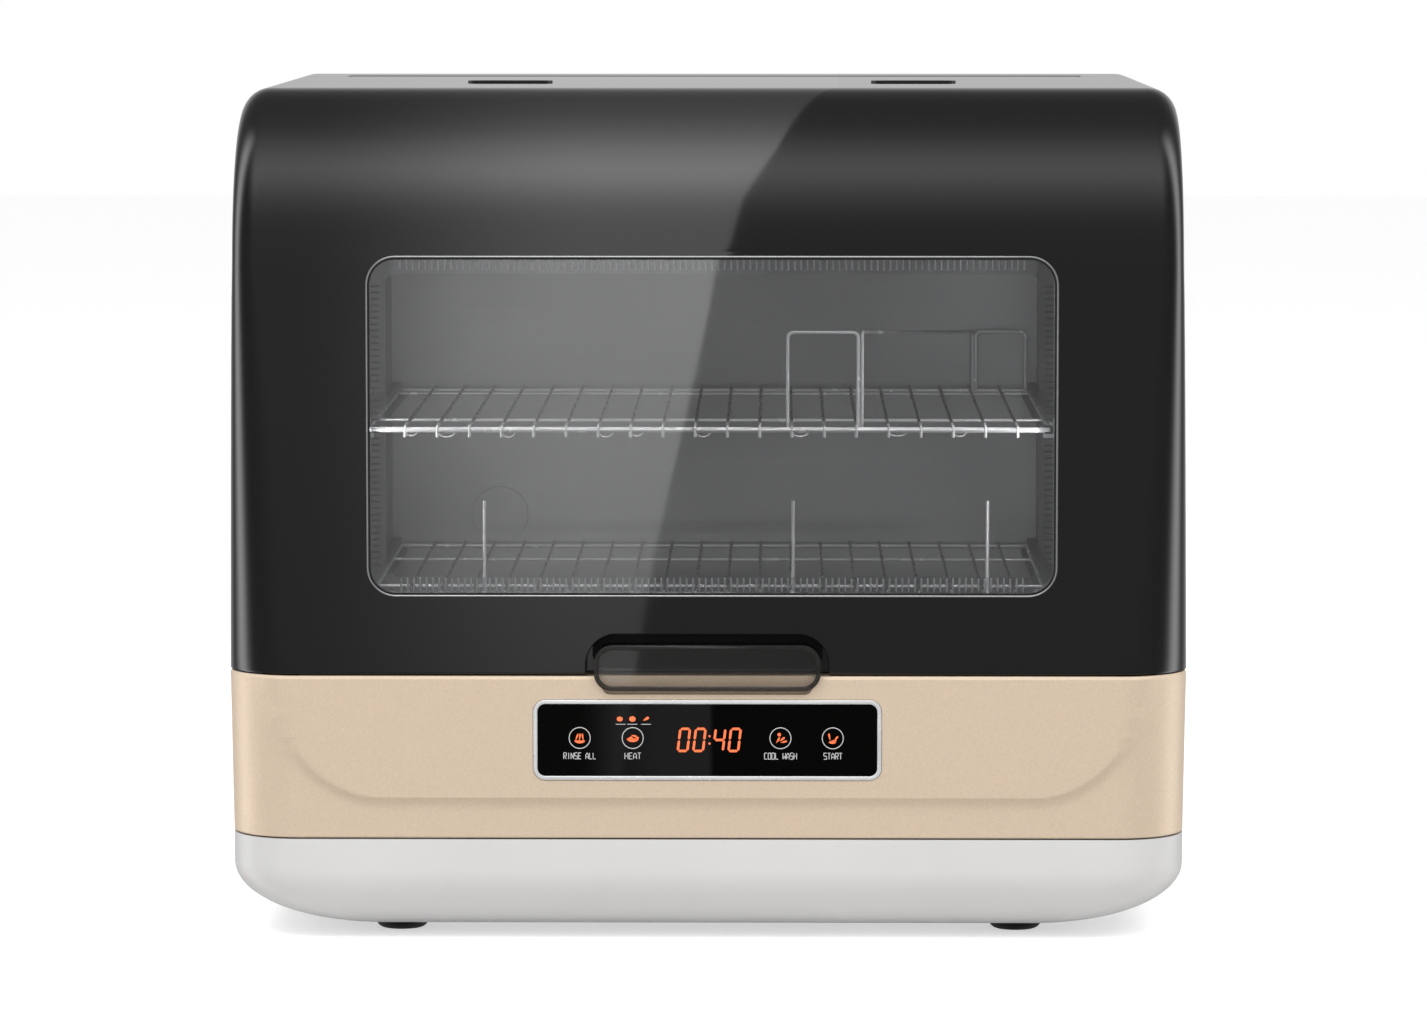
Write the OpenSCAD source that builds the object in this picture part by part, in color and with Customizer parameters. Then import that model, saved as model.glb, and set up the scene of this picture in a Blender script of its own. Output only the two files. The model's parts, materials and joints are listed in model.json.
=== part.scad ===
// Countertop dishwasher with a lift-up lid over the front and top.
// Millimetres. Origin under the centre of the machine on the worktop, front at -Y, +Z up.

/* [Cabinet] */
// Width over the fascia's upper edge
body_w = 472; // [450:2:490]
// Depth from the front face to the rear panel
body_d = 406; // [400:2:420]
// Height of the lid's top above the worktop
body_h = 416.6; // [410:0.2:424]
// Height of the seam between base and fascia
base_top = 51; // [48:1:54]
// Height of the seam between fascia and lid
fascia_top = 131.6; // [130:0.2:134]
// Radius of the front corners and of the base's lower edge
corner_r = 34; // [30:1:36]
// Radius of the rear corners
rear_r = 20; // [16:1:24]
// Radius of the sweep from the lid's front to its top
brow_r = 85; // [80:1:90]
// Radius along the lid's side edges
edge_r = 14; // [12:1:16]
// How far each side leans in from the fascia to the top
lid_draft = 3.8; // [2:0.2:5]
// How far each side leans in from the fascia to the base
base_draft = 1.4; // [0.6:0.2:2]
// Height over which the ends of the base round in towards the worktop
belly_h = 31; // [28:0.5:34]
// Distance over which they round in
belly_w = 70; // [60:1:76]
// Thickness of the moulded walls
wall = 3; // [2.6:0.2:3.2]
// Width of the gaps between neighbouring panels
seam = 0.8; // [0.6:0.1:0.9]

/* [Feet] */
// Height of the base above the worktop
foot_h = 5; // [4:0.5:7]
// Radius of a foot
foot_r = 13; // [11:0.5:15]
// Distance of the feet from the centre line
foot_x = 152.6; // [140:0.2:165]
// Distance of the front feet behind the front face
foot_front = 50; // [46:1:60]
// Distance of the rear feet in front of the rear panel
foot_rear = 50; // [46:1:60]

/* [Lid] */
// Width of the band that the lid wraps over the sides
skirt = 32; // [30:1:34]
// Distance of the hinge axis in front of the rear panel
hinge_back = 74; // [70:1:76]
// Radius of the hinge barrel
barrel_r = 12; // [11:0.5:13]
// Radius of the hinge pins
pin_r = 3; // [2.5:0.5:3.5]
// Radial clearance of every running fit
run_gap = 0.05; // [0.02:0.01:0.08]
// Clearance between pieces that lie next to each other
gap = 0.3; // [0.2:0.05:0.4]
// Distance of the barrel's ends inside the widest place
barrel_in = 40.5; // [39:0.5:43]
// Width of the window
window_w = 339; // [320:0.5:345]
// Height of the window
window_h = 165; // [150:1:168]
// Height of the window's centre above the worktop
window_z = 254; // [252:0.5:258]
// Radius of the window's corners
window_r = 12.5; // [10:0.5:16]
// Width of the bright trim round the window
trim_w = 1.8; // [1.4:0.1:2.4]
// Thickness of the window glass
glass_t = 4; // [3:0.5:4.5]
// Width of the ribbed seal seen through the glass
seal_w = 6; // [5:0.5:7]

/* [Handle] */
// Width of the handle tab
tab_w = 110.9; // [100:0.1:116]
// Height of the handle tab
tab_h = 22.5; // [20:0.5:24]
// Radius of the tab's corners
tab_r = 9; // [7:0.5:10]
// Thickness of the handle tab
tab_t = 2.5; // [2.5:0.1:2.8]
// How far the handle tab stands in front of the lid
tab_out = 4; // [4:0.1:4.6]
// How far the handle tab hangs below the seam
tab_drop = 7; // [6:0.5:7.5]
// Depth of the pocket behind the tab
pocket_d = 12; // [10:0.5:14]

/* [Steam vents] */
// Length of a vent
vent_w = 43.6; // [38:0.2:48]
// Width of a vent
vent_d = 13.6; // [12:0.2:16]
// Distance of the vents from the centre line
vent_x = 104; // [90:1:115]
// Distance of the vents behind the front face
vent_u = 198; // [185:1:215]
// Height of the vents above the lid
vent_out = 0.8; // [0.6:0.1:1]

/* [Fascia and controls] */
// Width of the raised pad at its upper edge
pad_w = 432; // [420:1:436]
// Height of the raised pad
pad_h = 60; // [56:1:64]
// Thickness of the raised pad
pad_t = 1.2; // [1:0.1:1.6]
// Width of the control bezel
bezel_w = 170.3; // [160:0.1:180]
// Height of the control bezel
bezel_h = 39.6; // [37:0.1:42]
// Width of the bezel's rim
bezel_rim = 2; // [1.6:0.1:2.6]
// Height of the bezel's centre above the worktop
bezel_z = 100.4; // [99:0.2:101]

/* [Tub] */
// Inner width of the tub
tub_w = 346; // [344:1:350]
// Thickness of the tub's walls
tub_t = 1.5; // [1.2:0.1:2]
// Depth of the service bay between tub and rear panel
bay_d = 92; // [90:1:96]
// Height of the tub floor above the worktop
floor_z = 126; // [125:0.5:127]
// Height of the lip at the front of the tub above its floor
lip_h = 16; // [14:1:18]
// Thickness of the door gasket
gasket_t = 6; // [5:0.5:7]

/* [Racks] */
// Width of both racks
rack_w = 338; // [334:0.5:339]
// Radius of the racks' rim wires
rim_r = 1.1; // [1:0.05:1.3]
// Radius of the racks' thin wires
wire_r = 0.8; // [0.7:0.05:0.9]
// Height of the upper rack above the worktop
upper_z = 249.4; // [244:0.2:254]
// Height of the lower rack above the worktop
lower_z = 165.6; // [163:0.2:168]
// Distance between neighbouring cross wires
wire_pitch = 15.88; // [15:0.02:16.4]
// Number of cross wires in a rack
wire_n = 20; // [18:1:20]
// Height of the front dividers above the upper rack
divider_h = 46; // [36:1:50]
// Height of the rear dividers above the upper rack
divider_low = 30; // [24:1:34]
// Height of the tines above the lower rack
tine_h = 44; // [36:1:50]

/* [Water parts] */
// Radius of the sump bowl inside
sump_r = 59.5; // [56:0.5:61]
// Length of the spray arm
arm_l = 252; // [230:1:260]
// Radius of the spindle that carries the spray arm
spindle_r = 6; // [5:0.5:7]
// Radius of the filter cup
cup_r = 21; // [18:0.5:22]
// Distance of the filter cup in front of the spindle
cup_u = 38; // [37:0.5:39]
// Radius of the threaded water inlet
inlet_r = 13.2; // [12:0.1:14]
// Radius of the drain outlet
outlet_r = 9; // [8:0.5:10]
// How far the water inlet and drain outlet stand out behind
rear_reach = 14; // [12:1:20]
// Height of the water inlet
inlet_z = 84; // [78:1:90]
// Height of the drain outlet
outlet_z = 74; // [66:1:80]

/* [Hidden] */

round_fn = 48;
hull_fn = 36;
base_fn = 32;
slice = 0.02;
far = 600;
front_y = -(tab_out + body_d + rear_reach) / 2 + tab_out;
rear_y = front_y + body_d;
hinge_u = body_d - hinge_back;
barrel_x = body_w / 2 - barrel_in;
hinge_y = front_y + hinge_u;
hinge_z = body_h - barrel_r;
mouth = skirt + seam;
flange_t = 2;
tub_x = tub_w / 2;
tub_front_u = mouth + flange_t;
tub_rear_u = body_d - wall - bay_d;
tub_mid_y = front_y + (tub_front_u + tub_rear_u) / 2;
flange_end_u = tub_rear_u + 7;
liner_u = mouth - gasket_t - gap;
liner_t = 2;
liner_x = tub_x + 20;
ear_x = barrel_x + 1;
ear_r = barrel_r + 5;
ear_wall = 2;
bracket_t = 5;
tab_z = fascia_top - tab_drop + tab_h / 2;
deck_t = 3;

// Points of an arc in degrees, both ends included
function arc(cx, cy, r, a0, a1, n) =
  [for (i = [0:n]) let (a = a0 + (a1 - a0) * i / n) [cx + r * cos(a), cy + r * sin(a)]];

// Rounded rectangle about the origin
function round_rect(w, h, r, n = 8) = concat(
  arc(w / 2 - r, h / 2 - r, r, 0, 90, n),
  arc(-w / 2 + r, h / 2 - r, r, 90, 180, n),
  arc(-w / 2 + r, -h / 2 + r, r, 180, 270, n),
  arc(w / 2 - r, -h / 2 + r, r, 270, 360, n));

// Line that runs up behind the front and back under the top, at a depth inside the outer skin
function sweep_line(inset, z0, u1) = concat(
  [[front_y + inset, z0]],
  arc(front_y + brow_r, body_h - brow_r, brow_r - inset, 180, 90, 20),
  [[front_y + u1, body_h - inset]]);

// Everything behind and below that line
function inside_line(inset, z0, u1) = concat(sweep_line(inset, z0, u1), [[front_y + u1, z0]]);

// Strip between two such lines
function band_line(near, deep, z0, u1) = concat(
  sweep_line(near, z0, u1),
  [for (i = [len(sweep_line(deep, z0, u1)) - 1:-1:0]) sweep_line(deep, z0, u1)[i]]);

// Extrudes a side outline of y and z points from x0 to x1
module across(x0, x1, pts) {
  translate([x0, 0, 0]) rotate([90, 0, 90]) linear_extrude(x1 - x0) polygon(pts);
}

// Extrudes a front outline of x and z points from depth u0 to u1
module deep(u0, u1, pts, z = 0, x = 0) {
  translate([x, front_y + u1, z]) rotate([90, 0, 0]) linear_extrude(u1 - u0) polygon(pts);
}

// Block from one x, depth and height to another
module block(x0, x1, u0, u1, z0, z1) {
  translate([x0, front_y + u0, z0]) cube([x1 - x0, u1 - u0, z1 - z0]);
}

// Round bar along x, y or z, starting at a point
module bar_x(r, x0, x1, u, z) {
  translate([x0, front_y + u, z]) rotate([0, 90, 0]) cylinder(r = r, h = x1 - x0, $fn = round_fn);
}
module bar_y(r, x, u0, u1, z) {
  translate([x, front_y + u1, z]) rotate([90, 0, 0]) cylinder(r = r, h = u1 - u0, $fn = round_fn);
}
module bar_z(r, x, u, z0, z1) {
  translate([x, front_y + u, z0]) cylinder(r = r, h = z1 - z0, $fn = round_fn);
}

module both_sides() {
  children();
  mirror([1, 0, 0]) children();
}

// Thin discs at the four corners of the plan, for the hulls of the outer skin
module plan_corners(half_w, z, inset, n = hull_fn) {
  for (side = [-1, 1]) {
    translate([side * (half_w - corner_r), front_y + corner_r, z])
      cylinder(r = corner_r - inset, h = slice, $fn = n);
    translate([side * (half_w - rear_r), rear_y - rear_r, z])
      cylinder(r = rear_r - inset, h = slice, $fn = n);
  }
}

// Outer form above the fascia, lowered a little where it serves as a cutter
module upper_form(inset, over = 0) {
  hull() {
    plan_corners(body_w / 2, fascia_top - over, inset);
    for (side = [-1, 1])
      translate([side * (body_w / 2 - lid_draft - edge_r), 0, 0]) {
        translate([0, front_y + brow_r, body_h - brow_r])
          rotate([90, 0, 90]) rotate([0, 0, 90])
            rotate_extrude(angle = 90, $fn = 96)
              translate([brow_r - edge_r, 0]) circle(r = edge_r - inset, $fn = hull_fn);
        translate([0, rear_y - edge_r, body_h - edge_r])
          rotate_extrude($fn = hull_fn)
            polygon(concat([[0, 0]], arc(0, 0, edge_r - inset, 0, 90, 8)));
      }
  }
}

// Outer form of the fascia band
module middle_form(inset, over = 0) {
  hull() {
    plan_corners(body_w / 2, fascia_top - slice + over, inset);
    plan_corners(body_w / 2 - base_draft, base_top - over, inset);
  }
}

// Outer form of the base with its round lower edge
module base_form(inset, over = 0) {
  hull() {
    plan_corners(body_w / 2 - base_draft, base_top - slice + over, inset, base_fn);
    for (a = [0:13:78]) {
      low = a == 78;
      z = foot_h + inset + (low ? 0 : (corner_r - inset) * (1 - sin(a)));
      for (side = [-1, 1], v = [front_y + corner_r, rear_y - corner_r])
        translate([side * (body_w / 2 - base_draft - corner_r), v, z])
          cylinder(r = (corner_r - inset) * cos(a), h = 0.1, $fn = base_fn);
    }
  }
}

// ---- Base and casing ----

tray_z = foot_h + wall;

// Front outline of the base, with wide elliptic corners below
function belly_outline(inset, top) =
  let (w = body_w / 2 + 5 - inset, b = foot_h + inset, cx = body_w / 2 - base_draft - belly_w) concat(
  [[-w, top], [-w, b + belly_h]],
  [for (a = [180:10:270]) [-cx + (belly_w - inset) * cos(a), b + belly_h + belly_h * sin(a)]],
  [for (a = [270:10:360]) [cx + (belly_w - inset) * cos(a), b + belly_h + belly_h * sin(a)]],
  [[w, b + belly_h], [w, top]]);

module base_body(inset, over = 0) intersection() {
  base_form(inset, over);
  deep(-50, body_d + 50, belly_outline(inset, base_top + 20));
}

module base_tray() color("#d6d3cc") {
  difference() {
    base_body(0);
    base_body(wall, 5);
  }
}

module feet() color("#17181a") {
  dome = 4;
  for (side = [-1, 1], v = [front_y + foot_front, rear_y - foot_rear])
    translate([side * foot_x, v, 0])
      rotate_extrude($fn = round_fn)
        polygon(concat([[0, 0]], arc(foot_r - dome, dome, dome, -90, 0, 6), [[foot_r, foot_h], [0, foot_h]]));
}

rear_half = body_w / 2 - rear_r - 10;
notch_z = tab_z - tab_h / 2 - 1.8;
notch_x = tab_w / 2 - 4;
notch_u = 8;
notch_t = 2.2;

// Soft trapezoid of the raised pad, round at its lower corners
function pad_outline() = let (w = pad_w / 2, rx = 52, rz = 40, z0 = fascia_top - pad_h) concat(
  [[w, fascia_top + 1]],
  [for (a = [0:-7.5:-90]) [w - rx + rx * cos(a), z0 + rz + rz * sin(a)]],
  [for (a = [-90:-7.5:-180]) [-w + rx + rx * cos(a), z0 + rz + rz * sin(a)]],
  [[-w, fascia_top + 1]]);

module front_fascia() color("#cdb89e") {
  difference() {
    union() {
      middle_form(0);
      intersection() {
        middle_form(-pad_t);
        deep(-pad_t - 1, corner_r, pad_outline());
      }
    }
    middle_form(wall, 1);
    block(-far, far, -far, far + far, 0, base_top + seam);
    block(-rear_half, rear_half, body_d - rear_r, body_d + 10, 0, far);
    deep(-10, 10, round_rect(bezel_w + 0.4, bezel_h + 0.4, 6.2), bezel_z);
    block(-notch_x, notch_x, -10, notch_u, notch_z, far);
  }
  difference() {
    union() {
      block(-body_w / 2 + corner_r, body_w / 2 - corner_r, wall - 0.5, mouth - gap, fascia_top - deck_t,
        fascia_top - slice);
      block(-notch_x - notch_t, notch_x + notch_t, wall - 0.5, notch_u + notch_t, notch_z - notch_t,
        fascia_top - slice);
    }
    block(-notch_x, notch_x, -10, notch_u, notch_z, far);
    deep(-10, 10, round_rect(bezel_w + 0.4, bezel_h + 0.4, 6.2), bezel_z);
  }
}

screw_x = rear_half - 8;
screw_z = [fascia_top + 20, (fascia_top + body_h) / 2, body_h - mouth - 14];
strip_u = body_d - wall - gap;

module side_panel() {
  difference() {
    intersection() {
      upper_form(0);
      across(0, far, inside_line(mouth, fascia_top + seam, body_d + 10));
    }
    upper_form(wall, 1);
    block(-1, rear_half, body_d - rear_r, body_d + 10, 0, far);
  }
  difference() {
    union() {
      block(screw_x - 6, rear_half + 6, strip_u - 2, strip_u, fascia_top + 10, body_h - mouth - 6);
      block(rear_half + 0.5, rear_half + 6, strip_u - 2, body_d - 1, fascia_top + 10, body_h - mouth - 6);
    }
    for (z = screw_z) bar_y(1.7, screw_x, strip_u - 5, strip_u + 1, z);
  }
}

module right_side_panel() color("#2b2c2e") side_panel();
module left_side_panel() color("#2b2c2e") mirror([1, 0, 0]) side_panel();

inlet_x = 120;
outlet_x = -74;
socket_x = -165;
socket_z = 84;
fan_x = -115;
fan_z = 270;

module rear_panel() color("#2b2c2e") {
  difference() {
    block(-rear_half + seam, rear_half - seam, body_d - wall, body_d, base_top + seam, body_h - mouth);
    bar_y(inlet_r + gap, inlet_x, body_d - 10, body_d + 10, inlet_z);
    bar_y(outlet_r + gap, outlet_x, body_d - 10, body_d + 10, outlet_z);
    deep(body_d - 10, body_d + 10, round_rect(32.6, 24.6, 3), socket_z, socket_x);
    for (side = [-1, 1], z = screw_z) bar_y(1.8, side * screw_x, body_d - 10, body_d + 10, z);
    for (i = [-4:4])
      block(fan_x - 26, fan_x + 26, body_d - 10, body_d + 10, fan_z + i * 7 - 1.5, fan_z + i * 7 + 1.5);
  }
}

trough_u = hinge_u + barrel_r + 1.2;
trough_z = hinge_z - barrel_r - 1.8;

// Side outline of the ear that shrouds a hinge end, round in front
function ear_outline(r, z0, z1, u1) = let (top = min(z1 - hinge_z, r)) concat(
  [[hinge_y - r, z0]],
  arc(hinge_y, hinge_z, r, 180, 180 - asin(top / r), 6),
  [[front_y + u1, z1], [front_y + u1, z0]]);

module rear_top_cover() color("#1f2022") {
  low = body_h - mouth + seam;
  difference() {
    intersection() {
      upper_form(0);
      union() {
        block(-far, far, trough_u, body_d + 10, low, far);
        both_sides() across(ear_x, far, ear_outline(ear_r, low, body_h + 5, body_d));
      }
    }
    intersection() {
      upper_form(wall);
      union() {
        block(-far, far, trough_u + ear_wall, body_d + 10, low - 10, far);
        both_sides()
          across(ear_x + ear_wall, far, ear_outline(ear_r - ear_wall, low - 10, body_h - wall, body_d));
      }
    }
    both_sides() bar_x(pin_r + 1, ear_x - 5, ear_x + 10, hinge_u, hinge_z);
  }
  block(-ear_x, ear_x, flange_end_u + 1.5, trough_u + ear_wall, trough_z - 2.5, trough_z);
  block(-ear_x, ear_x, flange_end_u + 1.5, flange_end_u + 3.5, body_h - mouth, trough_z - 2);
}

// ---- Tub ----

lip_z = floor_z + lip_h;
tub_out = tub_x + tub_t;
flange_x = body_w / 2 - lid_draft - wall - 1;
sump_u = (tub_front_u + tub_rear_u) / 2;
heater_r = 84;
heater_tube = 3.5;
duct_z = 182;
duct_r = 12;

module tub() color("#8f9092") {
  difference() {
    union() {
      across(-tub_out, tub_out, inside_line(mouth, floor_z - tub_t, tub_rear_u + tub_t));
      across(-flange_x, flange_x, band_line(mouth, tub_front_u, fascia_top + 2, flange_end_u));
    }
    across(-tub_x, tub_x, [
      [front_y + tub_rear_u, floor_z], [front_y + tub_front_u, floor_z], [front_y + tub_front_u, lip_z],
      [front_y, lip_z], [front_y, far], [front_y + tub_rear_u, far]]);
    bar_z(sump_r, 0, sump_u, floor_z - 10, floor_z + 1);
    for (side = [-1, 1]) bar_z(5.3, side * heater_leg_x, heater_leg_u, floor_z - 10, floor_z + 1);
    bar_y(duct_r, fan_x, tub_rear_u - 5, tub_rear_u + 5, duct_z);
  }
}

module tub_gasket() color("#3a3b3d") {
  near = tub_x + 5;
  far_x = tub_x + 13;
  z0 = lip_z - 7;
  both_sides() across(near, far_x, band_line(mouth - gasket_t, mouth, z0, flange_end_u - 1));
  block(-near, near, mouth - gasket_t, mouth, z0, lip_z - 1);
  block(-near, near, tub_rear_u + 1, flange_end_u - 1, body_h - mouth, body_h - mouth + gasket_t);
}

module runners(z) {
  a = tub_x - 8;
  b = tub_x - gap;
  h = rim_r + gap;
  both_sides()
    deep(tub_front_u + 3, tub_rear_u - 2, [
      [a, -h - 2.5], [b, -h - 2.5], [b, h + 2.5], [a + 3, h + 2.5], [a + 3, h], [b - 1.5, h], [b - 1.5, -h],
      [a, -h]], z);
}

module upper_runners() color("#77797c") runners(upper_z);
module lower_runners() color("#77797c") runners(lower_z);

// ---- Racks ----

rim_x = rack_w / 2 - rim_r;
rim_front_u = mouth + rim_r + 0.2;
rim_rear_u = tub_rear_u - 5.4;
rim_corner = 6;
weld = 0.3;

// Closed wire rim with round corners, and its cross bars
module rack_rim(z, bars) {
  y0 = front_y + rim_front_u;
  y1 = front_y + rim_rear_u;
  cx = rim_x - rim_corner;
  for (q = [[1, 1, 0], [-1, 1, 90], [-1, -1, 180], [1, -1, 270]])
    translate([q[0] * cx, q[1] > 0 ? y1 - rim_corner : y0 + rim_corner, z]) rotate([0, 0, q[2]])
      rotate_extrude(angle = 90, $fn = 64) translate([rim_corner, 0]) circle(r = rim_r, $fn = 24);
  for (u = [rim_front_u, rim_rear_u])
    translate([-cx, front_y + u, z]) rotate([0, 90, 0]) cylinder(r = rim_r, h = 2 * cx, $fn = 24);
  for (side = [-1, 1])
    translate([side * rim_x, y0 + rim_corner, z]) rotate([-90, 0, 0])
      cylinder(r = rim_r, h = y1 - y0 - 2 * rim_corner, $fn = 24);
  for (u = bars)
    translate([-rim_x, front_y + u, z]) rotate([0, 90, 0]) cylinder(r = wire_r, h = 2 * rim_x, $fn = 16);
}

// Cross wires that lie on the rim and hook down over its front wire
module rack_floor(z) {
  bend = 2.4;
  top = z + rim_r + wire_r - weld;
  hook_u = rim_front_u - rim_r - wire_r + weld;
  drop = 4.6;
  for (i = [0:wire_n - 1])
    translate([(i - (wire_n - 1) / 2) * wire_pitch + 1.5, front_y, 0]) {
      translate([0, hook_u + bend, top]) rotate([-90, 0, 0])
        cylinder(r = wire_r, h = rim_rear_u + rim_r - hook_u - bend, $fn = 16);
      translate([0, hook_u + bend, top - bend]) rotate([90, 0, 90]) rotate([0, 0, 90])
        rotate_extrude(angle = 90, $fn = 48) translate([bend, 0]) circle(r = wire_r, $fn = 16);
      translate([0, hook_u, top - bend - drop]) cylinder(r = wire_r, h = drop, $fn = 16);
    }
}

// Bent wire through a few points, with small beads at its bends
module wire_line(pts) {
  for (i = [0:len(pts) - 2]) {
    d = pts[i + 1] - pts[i];
    translate(pts[i]) rotate([0, acos(d[2] / norm(d)), atan2(d[1], d[0])])
      cylinder(r = wire_r, h = norm(d), $fn = 16);
  }
  for (i = [1:len(pts) - 2]) translate(pts[i]) sphere(r = wire_r * 1.12, $fn = 24);
}

// Divider loop between two feet on the rack floor
module divider(x0, u0, h0, x1, u1, h1, z) {
  foot = z;
  corner = 3.5;
  y0 = front_y + u0;
  y1 = front_y + u1;
  run = norm([x1 - x0, y1 - y0]);
  ex = (x1 - x0) / run * corner;
  ey = (y1 - y0) / run * corner;
  wire_line([[x0, y0, foot], [x0, y0, z + h0 - corner], [x0 + ex, y0 + ey, z + h0],
    [x1 - ex, y1 - ey, z + h1], [x1, y1, z + h1 - corner], [x1, y1, foot]]);
}

upper_bars = [tub_front_u + 10, tub_front_u + 65, tub_rear_u - 31];
lower_bars = [tub_front_u + 65, tub_rear_u - 79];
divider_u = [tub_front_u + 10, rim_rear_u];

module upper_rack_rim() color("#d5d7d9") rack_rim(upper_z, upper_bars);
module upper_rack_floor() color("#c4c6c8") rack_floor(upper_z);
module upper_rack_dividers() color("#d5d7d9") {
  divider(40.2, divider_u[0], divider_h, 73.9, divider_u[0], divider_h, upper_z);
  divider(77.5, divider_u[0], divider_h, 137, divider_u[1], divider_low, upper_z);
  divider(141, divider_u[1], divider_low, 163, divider_u[1], divider_low, upper_z);
}

tine_x = [-111.6, 41.9, 138.5];
tine_u = tub_front_u + 25;

module lower_rack_rim() color("#d5d7d9") rack_rim(lower_z, lower_bars);
module lower_rack_floor() color("#c4c6c8") rack_floor(lower_z);
module lower_rack_tines() color("#d5d7d9") {
  bar_x(wire_r, -rim_x, rim_x, tine_u, lower_z);
  for (x = tine_x)
    translate([x, front_y + tine_u, lower_z])
      rotate_extrude($fn = 24) polygon(concat([[0, 0], [rim_r, 0]], arc(0, tine_h - rim_r, rim_r, 0, 90, 5)));
}

// ---- Water parts ----

sump_t = 2.5;
sump_z = floor_z - tub_t;
well_r = 28;
well_z = 46;
bowl_z = 98;
pump_z = 66;
drain_z = 62;
arm_z = floor_z + 10;
arm_h = 9;
heater_leg_x = heater_r * sin(20);
heater_leg_u = sump_u + heater_r * cos(20);
port_r = 9;
drain_port_r = 7;
suction_x = 84;
drain_x = 60;

module sump() color("#4c4e52") {
  difference() {
    union() {
      bar_z(sump_r + 8, 0, sump_u, sump_z - 3, sump_z);
      bar_z(sump_r + sump_t, 0, sump_u, bowl_z - sump_t, sump_z - 1);
      bar_z(well_r + sump_t, 0, sump_u, well_z, bowl_z - 1);
      bar_x(port_r + sump_t, 0, suction_x, sump_u, pump_z);
      bar_x(drain_port_r + sump_t, -drain_x, 0, sump_u, drain_z);
      bar_z(6, 0, sump_u, tray_z, well_z + 1);
    }
    bar_z(sump_r, 0, sump_u, bowl_z, sump_z + 1);
    bar_z(well_r, 0, sump_u, well_z + sump_t, bowl_z + 1);
    bar_x(port_r, 0, suction_x + 1, sump_u, pump_z);
    bar_x(drain_port_r, -drain_x - 1, 0, sump_u, drain_z);
    bar_x(5, 40, sump_r + 10, sump_u + feed_u, feed_z);
  }
}

module spindle() color("#b9bcc0") {
  bar_z(10, 0, sump_u, well_z + sump_t, arm_z - gap);
  bar_z(spindle_r, 0, sump_u, arm_z - 1, arm_z + arm_h + gap);
  bar_z(11, 0, sump_u, arm_z + arm_h + gap, arm_z + arm_h + 4);
}

module filter_plate() color("#a9abae") {
  difference() {
    bar_z(sump_r + 5, 0, sump_u, floor_z, floor_z + 1.8);
    bar_z(10 + gap, 0, sump_u, floor_z - 1, floor_z + 3);
    bar_z(cup_r + gap, 0, sump_u - cup_u, floor_z - 1, floor_z + 3);
    for (r = [20, 29, 38, 47], a = [-30:15:210])
      if (norm([r * cos(a), r * sin(a) + cup_u]) > cup_r + 5)
        translate([r * cos(a), front_y + sump_u + r * sin(a), floor_z - 1])
          cylinder(r = 1.6, h = 4, $fn = 16);
  }
}

module filter_cup() color("#6d7074") {
  cup_u0 = sump_u - cup_u;
  cup_z = bowl_z + 2;
  difference() {
    bar_z(cup_r, 0, cup_u0, cup_z, floor_z + 3);
    bar_z(cup_r - 1.6, 0, cup_u0, cup_z + 1.6, floor_z + 10);
  }
  intersection() {
    block(-cup_r, cup_r, cup_u0 - 1.5, cup_u0 + 1.5, floor_z - 3, floor_z + 6);
    bar_z(cup_r - 0.5, 0, cup_u0, floor_z - 5, floor_z + 10);
  }
}

// Hollow two-bladed arm that turns on the spindle
module spray_arm() color("#7f8286") {
  difference() {
    union() {
      translate([0, 0, arm_z]) linear_extrude(arm_h)
        translate([0, front_y + sump_u]) polygon(concat(
          arc(arm_l / 2 - 12, 0, 12, -80, 80, 10), [[0, 17]], arc(-arm_l / 2 + 12, 0, 12, 100, 260, 10),
          [[0, -17]]));
      bar_z(19, 0, sump_u, arm_z, arm_z + arm_h);
    }
    bar_z(spindle_r + run_gap, 0, sump_u, arm_z - 1, arm_z + arm_h + 1);
    for (side = [-1, 1], r = [40:18:112])
      translate([side * r, front_y + sump_u + side * 4, arm_z + arm_h - 3])
        cylinder(r = 1.4, h = 5, $fn = 16);
  }
}

module heating_element() color("#9a9ca0") {
  translate([0, front_y + sump_u, floor_z + 5]) rotate([0, 0, 110])
    rotate_extrude(angle = 320, $fn = 120) translate([heater_r, 0]) circle(r = heater_tube, $fn = 24);
  for (side = [-1, 1]) bar_z(5, side * heater_leg_x, heater_leg_u, floor_z - 14, floor_z + 9.4);
}

pump_r = 36;
pump_w = 27;
feed_u = 20;
feed_z = 113;
feed_x = suction_x + gap + pump_w / 2;

module wash_pump() color("#3d3f43") {
  x0 = suction_x + gap;
  difference() {
    union() {
      bar_x(pump_r, x0, x0 + pump_w, sump_u, pump_z);
      bar_z(8.5, feed_x, sump_u + feed_u, pump_z, feed_z - 11);
      block(x0 + 4, x0 + pump_w - 4, sump_u - 14, sump_u + 14, tray_z, pump_z - pump_r + 4);
    }
    bar_x(pump_r - wall, x0 + wall, x0 + pump_w - wall, sump_u, pump_z);
    bar_x(port_r, x0 - 1, x0 + wall + 1, sump_u, pump_z);
    bar_x(5, x0 + pump_w - wall - 1, x0 + pump_w + 1, sump_u, pump_z);
    bar_z(6, feed_x, sump_u + feed_u, pump_z, feed_z);
  }
}

// Wheel with straight vanes on a shaft along x
module vane_wheel(x, r, vane_w, shaft, reach, z, n) {
  bar_x(r, x, x + 2.5, sump_u, z);
  bar_x(shaft, x - reach, x, sump_u, z);
  for (i = [0:n - 1])
    translate([x + 2, front_y + sump_u, z]) rotate([i * 360 / n, 0, 0])
      translate([0, r * 0.35, -0.8]) cube([vane_w, r * 0.6, 1.6]);
}

motor_end = suction_x + gap + pump_w + gap;

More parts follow.
